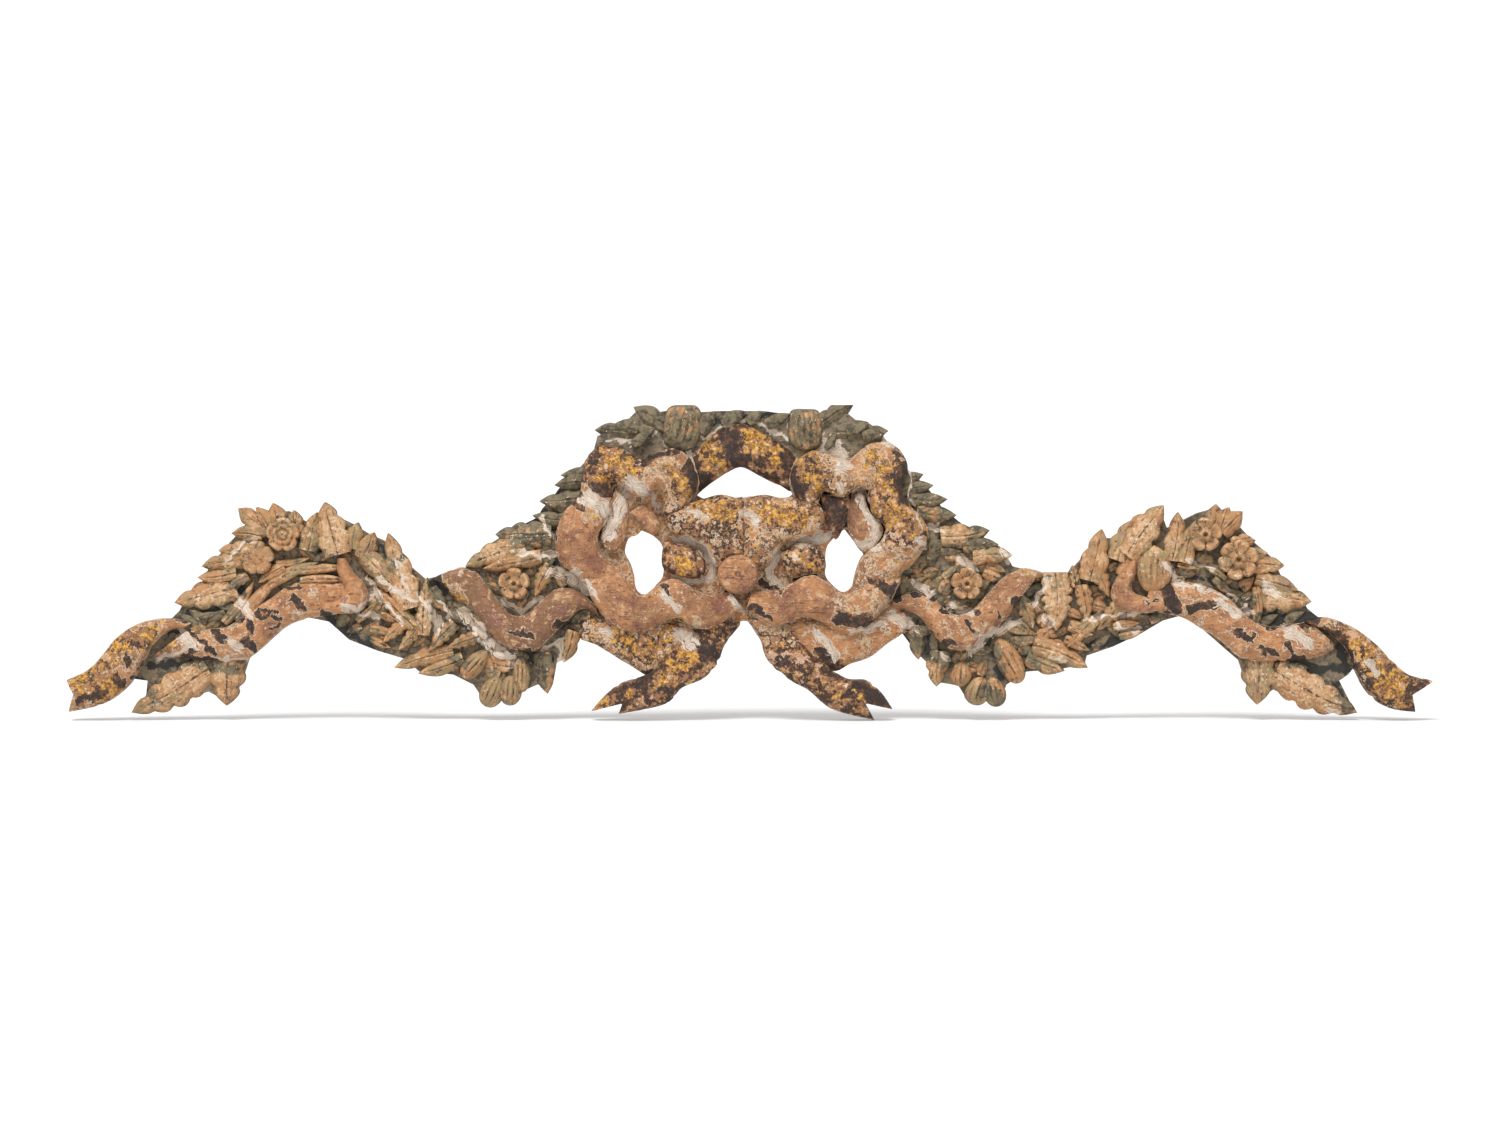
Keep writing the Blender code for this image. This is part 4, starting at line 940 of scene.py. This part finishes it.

# %% [markdown]
# Some worn patches are so plain on the real crest that they are placed one by one, as short bands:
# from one point to another with a half width. One table is for bare white gesso and one for its
# thin lines, one is for gold that is left, and one for dark bole, black dirt and painted shade
# under folds and lower edges. Noise breaks up their edges, and gesso is streaked along its band,
# as the brush and the scraper left it.

# %% Patches placed one by one
GESSO = (
    (-160, 74, -146, 62, 9), (-118, 92, -106, 82, 8), (-95, 75, -93, 68, 5), (-126, 78, -132, 56, 8),
    (-132, 56, -144, 36, 8), (-70, -60, -58, -70, 8), (-148, -58, -142, -60, 5), (90, 106, 94, 105, 8),
    (88, 86, 89, 82, 4), (110, 78, 120, 50, 6), (122, 48, 128, 32, 6), (106, 30, 126, 27, 5),
    (27, 18, 20, 0, 6), (24, -6, 28, -14, 4), (50, 30, 74, 37, 6), (-78, 34, -50, 28, 4),
    (-50, 28, -38, 10, 5), (-38, 8, -40, -8, 5), (-42, -8, -62, -10, 4.5), (-60, 62, -44, 57, 4),
    (-8, 60, 8, 52, 4), (-20, -22, -6, -40, 3.5), (134, 131, 142, 126, 4), (-84, -22, -70, -36, 5),
    (140, -42, 162, -54, 7), (100, -60, 134, -50, 4), (66, -58, 84, -84, 5), (164, 36, 174, 26, 3),
    (-200, 0, -172, -2, 6), (-182, -2, -154, -20, 6), (-246, -27, -228, -38, 3.5),
    (-228, -38, -210, -26, 3.5), (-287, -38, -262, -68, 6.5), (-262, -68, -238, -87, 6.5),
    (-228, 20, -196, 18, 3.5), (-186, -66, -206, -78, 2.6), (-190, -70, -187, -86, 2.6),
    (-208, 56, -198, 36, 2.6), (-320, -28, -312, -60, 4), (-382, -5, -345, -54, 2.6),
    (-404, -34, -372, -44, 3.5), (-308, -28, -300, -44, 2.5), (-372, -8, -332, -28, 3),
    (-352, 12, -340, -18, 2.4), (-330, -22, -304, -52, 2.4), (-376, -20, -392, -40, 3),
    (163, -12, 180, -20, 5), (198, -33, 219, -39, 4.5), (209, 14, 221, 7, 5), (220, -79, 242, -58, 5.5),
    (242, -58, 267, -49, 5.5), (282, -33, 296, -8, 3), (293, -42, 303, -50, 3.5), (249, 22, 259, 14, 3.5),
    (180, 46, 193, 42, 3), (158, 102, 160, 70, 1.5), (160, 70, 172, 46, 1.5), (190, -82, 197, -86, 3),
    (297, -85, 313, -87, 1.8), (416, 6, 428, -10, 5), (436, 11, 466, 3, 2.6), (428, -10, 484, -26, 2.2),
    (466, -30, 484, -39, 6), (512, -12, 528, -22, 5), (358, -42, 384, -44, 3.5), (334, -46, 358, -41, 2.2),
    (365, -52, 384, -58, 4), (494, -36, 498, -40, 4), (534, -58, 556, -70, 7), (575, -138, 586, -140, 3),
    (614, -88, 622, -98, 5), (-508, -28, -500, -40, 6), (-566, -62, -554, -72, 6),
    (-520, -68, -507, -74, 5), (-590, -83, -560, -78, 3), (-538, -84, -500, -86, 2),
    (-522, 10, -508, 26, 2.6), (-508, 27, -494, 36, 2.2))
GESSO_LINES = (
    (-70, 125, -45, 136, 1.6), (-45, 136, -22, 148, 1.5), (-22, 148, -4, 151, 1.4),
    (-4, 151, 20, 143, 1.5), (20, 142, 44, 128, 2.6), (42, 126, 62, 126, 2.6), (62, 128, 90, 118, 4.5),
    (-83, 136, -80, 124, 2.4), (-143, 132, -112, 135, 1.2), (-118, 126, -92, 140, 1.2),
    (-64, 122, -52, 104, 2), (18, 150, 45, 124, 1), (35, 157, 45, 130, 1), (70, 138, 74, 122, 1.6),
    (80, 136, 82, 120, 1.4), (88, 132, 94, 116, 2.4), (-82, 144, -79, 130, 1.4), (-44, 148, -38, 152, 1.6),
    (-140, 133, -115, 130, 1))
GOLD = (
    (-170, 70, -152, 50, 7), (-138, 114, -116, 97, 9), (-150, 92, -140, 86, 6), (-46, 130, -32, 100, 8),
    (0, 136, 20, 116, 9), (24, 118, 36, 100, 7), (-80, 104, -64, 82, 9), (-50, 64, -22, 58, 8),
    (16, 60, 50, 52, 8), (48, 112, 68, 84, 9), (122, 114, 136, 84, 9), (132, 66, 164, 46, 11),
    (-302, -20, -288, -28, 7), (-632, -72, -596, -62, 9), (-662, -100, -640, -86, 10),
    (-668, -104, -636, -114, 12), (-656, -120, -636, -121, 8), (596, -62, 612, -76, 9),
    (630, -86, 646, -104, 10), (627, -108, 646, -118, 9), (-60, -80, -90, -104, 7),
    (-128, -64, -100, -84, 7), (-120, -118, -150, -128, 6), (90, -92, 130, -116, 5), (-74, 14, -64, 8, 5),
    (48, 14, 58, 8, 3), (-100, -76, -70, -50, 6), (80, 60, 92, 48, 4), (262, 4, 290, -4, 6))
# Dark bole and black dirt, and painted shade under folds and along the lower edges of forms
DARK_DIRT_AND_SHADE = (
    (-60, 108, -44, 84, 6), (-20, 138, -12, 106, 7), (36, 116, 48, 82, 6), (-156, 85, -140, 80, 4),
    (88, -46, 120, -49, 5), (124, -8, 148, -25, 4), (12, -8, 30, -18, 3.5), (2, -34, 20, -46, 3.5),
    (-84, -14, -78, -26, 2.4), (-111, -43, -106, -47, 2), (80, 68, 92, 50, 6), (416, -18, 424, -34, 6),
    (428, -3, 450, -5, 4), (458, -5, 480, -20, 4), (490, -20, 498, -32, 6), (440, -36, 466, -32, 4),
    (486, -58, 496, -64, 5), (508, -74, 512, -82, 3), (516, -76, 522, -80, 2), (536, -70, 542, -78, 3),
    (396, -43, 414, -42, 4), (340, -72, 370, -68, 6), (392, -29, 410, -30, 1.6), (516, -46, 556, -46, 9),
    (540, -92, 600, -96, 6), (588, -72, 594, -92, 6), (570, -58, 586, -62, 3), (540, -88, 568, -100, 6),
    (584, -112, 598, -136, 6), (-640, -90, -636, -95, 2), (-612, -104, -604, -112, 3),
    (-620, -84, -618, -90, 2.5), (-632, -104, -622, -108, 3.2), (-668, -128, -640, -119, 2.2),
    (-616, -68, -608, -71, 1.8), (-600, -93, -530, -91, 6), (-530, -96, -514, -98, 5),
    (-606, -114, -590, -128, 6), (-534, -58, -524, -66, 4), (-500, -50, -497, -58, 3.6),
    (-489, -37, -470, -39, 1.6), (-489, -42, -468, -46, 2), (-480, -54, -470, -52, 1.6),
    (-558, -78, -555, -80, 2.4), (-555, -77, -551, -77, 1.8), (-542, -76, -534, -80, 2),
    (-560, -58, -536, -76, 1.4), (-502, -70, -493, -74, 3.6), (-580, -62, -570, -58, 2),
    (-518, -8, -505, -20, 6), (-524, -30, -512, -44, 5), (-420, -44, -376, -78, 7),
    (-560, -42, -522, -40, 8), (-462, -16, -447, -17, 1.6), (-455, -24, -443, -33, 4),
    (-340, 22, -356, 4, 4), (-368, 28, -352, 4, 3), (-430, 22, -416, 16, 5), (-364, 68, -350, 50, 5),
    (-206, 86, -180, 100, 6), (-240, -57, -217, -62, 2.2), (-200, 18, -190, 4, 5),
    (-190, -52, -168, -44, 5), (-230, -82, -198, -88, 6), (-214, -86, -208, -108, 6),
    (-315, -8, -303, -28, 6), (-296, -84, -288, -92, 5), (-200, 80, -170, 70, 6), (-212, 60, -198, 38, 7),
    (-292, -42, -282, -56, 4), (-270, -68, -258, -74, 5), (146, -16, 186, -24, 4),
    (190, -37, 228, -40, 2.4), (266, -32, 296, -6, 6), (168, -48, 182, -68, 4.5),
    (192, -69, 204, -70, 2.6), (242, -70, 252, -106, 6), (278, -78, 286, -96, 5), (160, -66, 196, -88, 8),
    (148, 92, 152, 72, 5), (234, -116, 248, -128, 6), (301, -14, 304, -22, 2.2), (158, 100, 172, 76, 8),
    (-60, -66, -30, -86, 5), (-140, -124, -100, -104, 4), (70, -80, 110, -112, 5),
    (120, -118, 150, -136, 5), (-40, 150, 40, 158, 5), (-106, 112, -60, 128, 3), (216, -50, 221, -56, 1.4),
    (247, -38, 249, -42, 1.6), (-264, 42, -206, 58, 8), (-236, 30, -206, 36, 5), (196, 64, 244, 46, 7),
    (224, 30, 252, 34, 4), (-170, 104, -186, 80, 5), (176, 98, 196, 76, 5))
print("patches:", len(GESSO) + len(GESSO_LINES) + len(GOLD) + len(DARK_DIRT_AND_SHADE))

# %% Write the marks of wear and of painted shade on every piece
LINES_BELOW = 28
BRUSH_LONG, BRUSH_WIDE = 14, 1.5
DEEP_NEAR, DEEP_WIDE, PROUD_BY = 6, 14, 4


def stray(place, x, z, seed):
    """Let a listed edge wander a few millimetres either way."""
    return place + 3.2 * uneven(x, z, 7.0, seed) + 1.6 * uneven(x, z, 3.2, seed + 1)


def banded(x, z, bands):
    """How deep each point lies in the bands, and its place along and across the nearest one."""
    x, z = stray(x, x, z, 31), stray(z, x, z, 33)
    best, run, over = np.zeros_like(x), np.array(x), np.array(z)
    for x0, z0, x1, z1, half in bands:
        long = math.dist((x0, z0), (x1, z1))
        ax, az = (x1 - x0) / long, (z1 - z0) / long
        s, d = (x - x0) * ax + (z - z0) * az, (z - z0) * ax - (x - x0) * az
        away = np.hypot(s - np.clip(s, 0, long), d)
        depth = np.clip(1.6 - away / half, 0, 1.2)
        run, over = np.where(depth > best, s, run), np.where(depth > best, d, over)
        best = np.maximum(best, depth)
    return best, run, over


for group, piece in PIECES.items():
    x, high, z = spots_of(piece.data)
    at = cell(x, z)
    hollow = np.clip((small[at] - high) / DEEP_NEAR, 0, 1)
    hollow = hollow + np.clip((broad[at] - high) / DEEP_WIDE, 0, 1)
    if group == "ribbons":
        hollow = hollow * inside_rim[at]
    write_mark(piece.data, "hollow", hollow)
    write_mark(piece.data, "proud", np.clip((high - small[at]) / PROUD_BY, 0, 1))
    depth, run, over = banded(x, z, GESSO)
    if group in ("ground", "ribbons"):
        fine, fine_run, fine_over = banded(x, z, GESSO_LINES)
        fine = fine * (high < LINES_BELOW)
        run, over = np.where(fine > depth, fine_run, run), np.where(fine > depth, fine_over, over)
        depth = np.maximum(depth, fine)
    write_mark(piece.data, "gesso", depth)
    strokes = np.stack([run / BRUSH_LONG, over / BRUSH_WIDE, 0 * run], 1)
    write_mark(piece.data, "brush", strokes, "FLOAT_VECTOR")
    write_mark(piece.data, "gold", banded(x, z, GOLD)[0])
    write_mark(piece.data, "dark", banded(x, z, DARK_DIRT_AND_SHADE)[0])
    print(group, "hollow mean", round(float(hollow.mean()), 2))

# %% [markdown]
# Colours are read off and written as sRGB hex values. One function turns them into the
# linear values a shader needs, and one small function adds a node with its settings and links.

# %% Helpers for the finishes


def colour(code):
    """Linear colour from an sRGB hex value such as B07A52."""
    parts = [int(code[i:i + 2], 16) / 255 for i in (0, 2, 4)]
    return tuple(c / 12.92 if c <= 0.04045 else ((c + 0.055) / 1.055) ** 2.4 for c in parts) + (1.0,)


def add(tree, kind, links=None, out=0, **settings):
    """Add a node with its settings, feed its inputs, and give back one output."""
    node = tree.nodes.new(kind)
    for name, value in settings.items():
        setattr(node, name, value)
    for socket, source in (links or {}).items():
        if isinstance(source, bpy.types.NodeSocket):
            tree.links.new(source, node.inputs[socket])
        else:
            node.inputs[socket].default_value = source
    return node.outputs[out]


print("bare wood, linear:", [round(c, 3) for c in colour("B07A52")])

# %% [markdown]
# The finish is a stack of worn coats: limewood, white gesso, dark bole, then gold on the
# ribbons and thin olive paint on the leaves. Each coat is one colour laid over the last where
# a sum of marks and noises passes a level. The step is sharp, because flaking paint has hard
# edges. The noise sizes are real ones: clouds 36 mm, patches 13 mm, others 8.5 mm, flakes 6 mm,
# flecks 3 mm and specks 1.6 mm, with wood grain 2 mm wide that runs along the board.

# %% Shared patterns
# Most of a noise lies between these two values, so they are stretched to 0 and 1
NOISE_LOW, NOISE_HIGH = 0.34, 0.66


def patterns(tree):
    """The marks and noises that the finishes of the crest read, each mostly from 0 to 1."""
    place = add(tree, "ShaderNodeTexCoord", out="Object")
    read = {}
    for name in ("hollow", "proud", "gesso", "gold", "dark", "groove", "kept", "tone"):
        read[name] = add(tree, "ShaderNodeAttribute", out="Fac", attribute_name=name)
    rows = (("cloud", 0.036, 3, 0.55), ("patch", 0.013, 5, 0.6), ("flake", 0.0062, 5, 0.65),
            ("fleck", 0.0033, 4, 0.65), ("speck", 0.0016, 3, 0.7), ("other", 0.0085, 5, 0.65))
    for k, (name, size, detail, rough) in enumerate(rows):
        spot = add(tree, "ShaderNodeMapping", {0: place, 1: (0.37 * k + 0.2, 0.11 * k, 0.23 * k)})
        read[name] = add(tree, "ShaderNodeTexNoise", {2: 1 / size, 3: detail, 4: rough, 0: spot})
    grain = add(tree, "ShaderNodeMapping", {0: place, 3: (0.07, 1.0, 1.0)})
    read["grain"] = add(tree, "ShaderNodeTexNoise", {0: grain, 2: 1 / 0.002, 3: 3, 4: 0.6})
    for name in ("lay", "brush"):
        run = add(tree, "ShaderNodeAttribute", out="Vector", attribute_name=name)
        read[name] = add(tree, "ShaderNodeTexNoise", {0: run, 2: 1.0, 3: 4, 4: 0.65})
    for name in ("cloud", "patch", "flake", "fleck", "speck", "other", "grain", "lay", "brush"):
        links = {0: read[name], 1: NOISE_LOW, 2: NOISE_HIGH}
        read[name] = add(tree, "ShaderNodeMapRange", links, clamp=False)
    for name, source in (("rift", "other"), ("split", "patch")):
        away = add(tree, "ShaderNodeMath", {0: read[source], 1: 0.42}, operation="SUBTRACT")
        away = add(tree, "ShaderNodeMath", {0: away}, operation="ABSOLUTE")
        read[name] = add(tree, "ShaderNodeMapRange", {0: away, 1: 0.075, 2: 0.0})
    return read

# %% Coats


def weigh(tree, marks, **weights):
    """Add up marks, each with its weight."""
    so_far = 0.0
    for name, weight in weights.items():
        links = {0: marks[name], 1: weight, 2: so_far}
        so_far = add(tree, "ShaderNodeMath", links, operation="MULTIPLY_ADD")
    return so_far


def coat(tree, under, finish, where, start, soft):
    """Lay one coat where a sum of marks passes a level, and give the colour and the cover."""
    cover = add(tree, "ShaderNodeMapRange", {0: where, 1: start, 2: start + soft})
    finish = colour(finish) if isinstance(finish, str) else finish
    under = colour(under) if isinstance(under, str) else under
    return add(tree, "ShaderNodeMix", {0: cover, 6: under, 7: finish}, out=2, data_type="RGBA"), cover


def coats(tree, marks, skin, *rows):
    """Lay coats in turn. A row is a colour, the level where it starts, how softly, and its weights."""
    for finish, start, soft, weights in rows:
        skin = coat(tree, skin, finish, weigh(tree, marks, **weights), start, soft)[0]
    return skin


def new_finish(name, roughness):
    """A material with its shader ready and its patterns read."""
    finish = bpy.data.materials.new(name)
    finish.use_nodes = True
    shader = finish.node_tree.nodes["Principled BSDF"]
    shader.inputs["Roughness"].default_value = roughness
    return finish, finish.node_tree, shader, patterns(finish.node_tree)


def chalk_coat(tree, marks):
    """Old gesso: off-white chalk with grey streaks left by the scraper."""
    chalk = coat(tree, "C3AD97", "DACBBA", marks["brush"], 0.3, 0.4)[0]
    return coats(tree, marks, chalk, ("8F7A64", -0.05, 0.15, dict(brush=-1.0, speck=0.3)))


def dress(tree, shader, skin, lift, strength, deep):
    """Give the shader its colour, and dents from a sum of marks, `deep` metres from low to high."""
    tree.links.new(skin, shader.inputs["Base Color"])
    dent = add(tree, "ShaderNodeBump", {"Strength": strength, "Distance": deep, "Height": lift})
    tree.links.new(dent, shader.inputs["Normal"])


print("coats ready")

# %% [markdown]
# Water gilding is gold leaf laid on brown bole over gesso, and rubbed bright. Where it is left
# the eye sees soft metal, and where it has flaked, dark bole, white chalk and dry bare wood.
# A plain gold shader would lose all that, so the gold is only the last coat of the stack.

# %% Worn gilding on bole and gesso
gilding, tree, shader, marks = new_finish("worn water gilding on limewood", 0.58)
skin = coats(
    tree, marks, "BD8558",
    ("8A6446", 0.5, 0.6, dict(cloud=0.6, tone=0.5, other=0.2)),
    ("8B5740", 0.54, 0.3, dict(patch=0.5, cloud=0.3, lay=0.2)),
    ("95695A", 0.5, 0.3, dict(flake=0.5, patch=0.5, cloud=-0.2)),
    ("CFA67C", 0.6, 0.25, dict(other=0.7, lay=0.4, cloud=-0.2)),
    ("7A4D34", 0.66, 0.2, dict(grain=0.6, flake=0.4)),
    ("6B4430", 0.78, 0.12, dict(rift=0.5, cloud=0.4, fleck=0.2)),
    ("3F281F", 0.96, 0.05, dict(fleck=0.8, speck=0.2, kept=0.3)),
    ("DCC8AE", 0.80, 0.05, dict(fleck=0.5, speck=0.3, lay=0.2, groove=0.3)))
# The dark bands lay dark bole here, and where they follow a fold's underside that is painted shade
worn = weigh(tree, marks, patch=0.5, flake=0.3, fleck=0.2, kept=1.5, dark=0.62, gold=0.3, gesso=-0.3)
skin = coat(tree, skin, "D0B597", worn, 1.10, 0.03)[0]
skin, coated = coat(tree, skin, "35261F", worn, 1.22, 0.03)
inside = coats(
    tree, marks, "33241C",
    ("6B452B", 0.40, 0.2, dict(other=0.4, fleck=0.3, speck=0.3, dark=-0.12, gold=0.1)),
    ("A0714B", 0.54, 0.08, dict(patch=0.55, flake=0.25, fleck=0.2, dark=-0.18, gold=0.1)))
gilt_sum = weigh(tree, marks, other=0.6, flake=0.25, speck=0.15, gold=0.2, dark=-0.5, hollow=-0.15)
gilt = coats(tree, marks, "93602A", ("DCA54A", 0.34, 0.3, dict(fleck=0.7, flake=0.3)))
inside = coat(tree, inside, "BC9063", gilt_sum, 0.625, 0.02)[0]
inside, gilt_cover = coat(tree, inside, gilt, gilt_sum, 0.65, 0.05)
inside = coats(
    tree, marks, inside,
    ("C9A183", 0.74, 0.05, dict(cloud=0.4, other=0.6, dark=-0.4)),
    ("DCC8B0", 0.80, 0.05, dict(fleck=0.5, patch=0.5, dark=-0.3)),
    ("2F211B", 0.5, 0.3, dict(rift=0.6, split=0.5, speck=0.3)))
skin = add(tree, "ShaderNodeMix", {0: coated, 6: skin, 7: inside}, out=2, data_type="RGBA")
# Beside the creases a pale gesso line, and in the creases and along the edges of forms a dark coat of
# painted shade with some dirt
crease_gesso_and_shade = weigh(tree, marks, hollow=0.75, other=0.3, fleck=0.15, groove=0.5)
gesso = (chalk_coat(tree, marks), 1.4, 0.05, dict(gesso=1.0, other=0.4, brush=0.9))
skin = coats(tree, marks, skin, gesso)
skin = coat(tree, skin, "CDB599", crease_gesso_and_shade, 0.84, 0.08)[0]
skin = coat(tree, skin, "45362C", crease_gesso_and_shade, 1.26, 0.12)[0]
gilt_here = add(tree, "ShaderNodeMath", {0: gilt_cover, 1: coated}, operation="MULTIPLY")
metal = add(tree, "ShaderNodeMapRange", {0: gilt_here, 4: 0.4})
gloss = add(tree, "ShaderNodeMapRange", {0: gilt_here, 3: 0.58, 4: 0.4})
tree.links.new(metal, shader.inputs["Metallic"])
tree.links.new(gloss, shader.inputs["Roughness"])
marks["coated"] = coated
lift = weigh(tree, marks, coated=0.5, flake=0.6, speck=0.3, grain=0.2, rift=-0.3)
dress(tree, shader, skin, lift, 0.8, 0.0018)
print("gilding:", len(tree.nodes), "nodes")

# %% [markdown]
# The leaves, nuts and flowers had a thin olive paint, brushed on and since rubbed away. It stays
# in the grooves and hollows, and the high places show dry wood from pink brown to pale. The
# paint is one coat whose sum weighs those marks, so the wear follows the carving.

# %% Olive paint worn to the wood
paint, tree, shader, marks = new_finish("thin olive paint worn to limewood", 0.66)
skin = coats(
    tree, marks, "AE7F54",
    ("96825A", 0.56, 0.3, dict(cloud=0.7, tone=0.25, other=0.35)),
    ("9C7460", 0.62, 0.35, dict(other=0.6, cloud=0.4)),
    ("C69F75", 0.60, 0.25, dict(patch=0.5, fleck=0.5, proud=0.3)),
    ("80593A", 0.60, 0.2, dict(lay=0.7, flake=0.3)),
    ("503D2B", 0.82, 0.25, dict(groove=0.8, flake=0.5)),
    ("4C3E2C", 0.72, 0.1, dict(speck=0.5, flake=0.4, lay=0.2, proud=-0.2)))
olive = coat(tree, "776A50", "473E30", marks["flake"], 0.4, 0.4)[0]
# The dark bands in this sum lay dark olive, partly as paint and partly as painted shade under folds
olive_sum = weigh(tree, marks, other=0.45, fleck=0.25, speck=0.15, hollow=0.5, groove=0.2,
                  dark=0.55, proud=-0.3, kept=0.62)
skin, marks["painted"] = coat(tree, skin, olive, olive_sum, 0.84, 0.18)
skin = coats(
    tree, marks, skin,
    ("D4C4AC", 0.88, 0.06, dict(lay=0.4, fleck=0.6, proud=0.2)),
    (chalk_coat(tree, marks), 1.45, 0.05, dict(gesso=1.0, other=0.4, brush=0.9)))
lift = weigh(tree, marks, painted=0.3, flake=0.5, speck=0.3, lay=0.2)
dress(tree, shader, skin, lift, 0.7, 0.0011)
print("paint:", len(tree.nodes), "nodes")

# %% [markdown]
# The ground is grey green paint thick with dirt over tool marks, dull and rough to the eye, and
# its darkest coat also paints shade under the forms. The back was sawn and never coated, so it is
# bare limewood gone brown. Both are made from the same coats and noises as the rest, because they
# are the same board and aged with it.

# %% Dark ground and the sawn back
ground_paint, tree, shader, marks = new_finish("grey green ground dark with grime and painted shade", 0.75)
skin = coats(
    tree, marks, "83735D",
    ("504A3F", 0.4, 0.3, dict(patch=0.6, fleck=0.4)),
    ("957A5C", 0.72, 0.1, dict(other=0.7, grain=0.3, dark=-0.5)),
    # The darkest coat follows the dark bands: black dirt, and painted shade under the forms
    ("2F2D28", 0.8, 0.2, dict(dark=0.8, flake=0.4)),
    ("C6B49C", 0.98, 0.06, dict(grain=0.5, fleck=0.5)),
    (chalk_coat(tree, marks), 1.1, 0.06, dict(gesso=1.0, other=0.35, brush=0.75)))
dress(tree, shader, skin, weigh(tree, marks, flake=0.6, speck=0.4, grain=0.5), 0.7, 0.0012)

sawn, tree, shader, marks = new_finish("sawn limewood brown with age", 0.78)
skin = coats(
    tree, marks, "8A6C4C",
    ("6B5038", 0.4, 0.5, dict(cloud=0.6, patch=0.4)),
    ("A5845F", 0.7, 0.3, dict(grain=0.8, flake=0.2)),
    ("47372A", 0.92, 0.1, dict(other=0.6, grain=0.4)))
dress(tree, shader, skin, weigh(tree, marks, grain=1.0, flake=0.4), 0.6, 0.0010)
print("four finishes made")

# %% [markdown]
# Each piece gets its finish, rides on the one body and stands for the solid of the frame.
# Faces that look backwards, and the cut edges of the board, are bare sawn wood.

# %% Finish the pieces and fix them to the frame
FINISH = {"ribbons": gilding, "ground": ground_paint}
EDGE_DEEP = 26
BOW_PLATE_TOP, BOW_PLATE_FROM = 26.5, 112
for group, piece in PIECES.items():
    piece.data.materials.clear()
    piece.data.materials.append(FINISH.get(group, paint))
    piece.data.materials.append(sawn)
    facing = rows_of(piece.data.polygons, "normal")[:, 1]
    centre = rows_of(piece.data.polygons, "center") / MM
    board_edge = (facing > -0.3) & (np.abs(centre[:, 1]) < EDGE_DEEP) if group == "ground" else False
    which = np.where((facing > 0.5) | board_edge, 1, 0)
    if group == "ribbons":
        # What shows of the bow's own ground plate above the loops is painted as the ground is
        piece.data.materials.append(ground_paint)
        plate = (centre[:, 1] > -BOW_PLATE_TOP) & (centre[:, 2] > BOW_PLATE_FROM)
        which = np.where((which == 0) & plate, 2, which)
    piece.data.polygons.foreach_set("material_index", which.astype(np.int32))
    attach(piece, "root")
    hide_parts("carved_crest")

# %% [markdown]
# The floor and the wall behind are one pale sheet, turned up at the back. Light comes softly
# from above and in front, so the hollows stay dark and the crowns are bright.

# %% Studio
FLOOR_LEVEL = -0.1475
FLOOR_SIZE = (30, 24, 1)
WALL_TALL = 10
WHITE = (1.0, 1.0, 1.0, 1.0)
bpy.ops.object.select_all(action="DESELECT")
bpy.ops.mesh.primitive_plane_add(size=1, location=(0, 1.0, FLOOR_LEVEL))
sweep = bpy.context.object
sweep.name = "studio_sweep"
bpy.ops.object.mode_set(mode="EDIT")
bpy.ops.transform.resize(value=FLOOR_SIZE)
bpy.ops.object.mode_set(mode="OBJECT")
for part in list(sweep.data.vertices) + list(sweep.data.polygons):
    part.select = False
for edge in sweep.data.edges:
    edge.select = all(sweep.data.vertices[v].co.y > 1 for v in edge.vertices)
bpy.ops.object.mode_set(mode="EDIT")
bpy.ops.mesh.select_mode(type="EDGE")
bpy.ops.mesh.extrude_region_move(TRANSFORM_OT_translate={"value": (0, 0, WALL_TALL)})
bpy.ops.object.mode_set(mode="OBJECT")
white = bpy.data.materials.new("matt white paper sweep")
white.use_nodes = True
paper = white.node_tree.nodes["Principled BSDF"]
paper.inputs["Base Color"].default_value = colour("D4D4D4")
paper.inputs["Roughness"].default_value = 0.9
paper.inputs["Emission Color"].default_value = WHITE
paper.inputs["Emission Strength"].default_value = 0.2
sweep.data.materials.append(white)
world = bpy.data.worlds.new("white studio")
bpy.context.scene.world = world
world.use_nodes = True
sky = world.node_tree.nodes["Background"]
sky.inputs["Color"].default_value = WHITE
sky.inputs["Strength"].default_value = 0.6
bpy.context.scene.view_settings.view_transform = "Standard"
key = bpy.data.lights.new("soft key", "SUN")
key.angle = math.radians(30)
key.energy = 3.0
lamp = bpy.data.objects.new("soft key", key)
lamp.rotation_euler = (math.radians(34), 0.0, math.radians(-20))
bpy.context.scene.collection.objects.link(lamp)
print("studio ready")
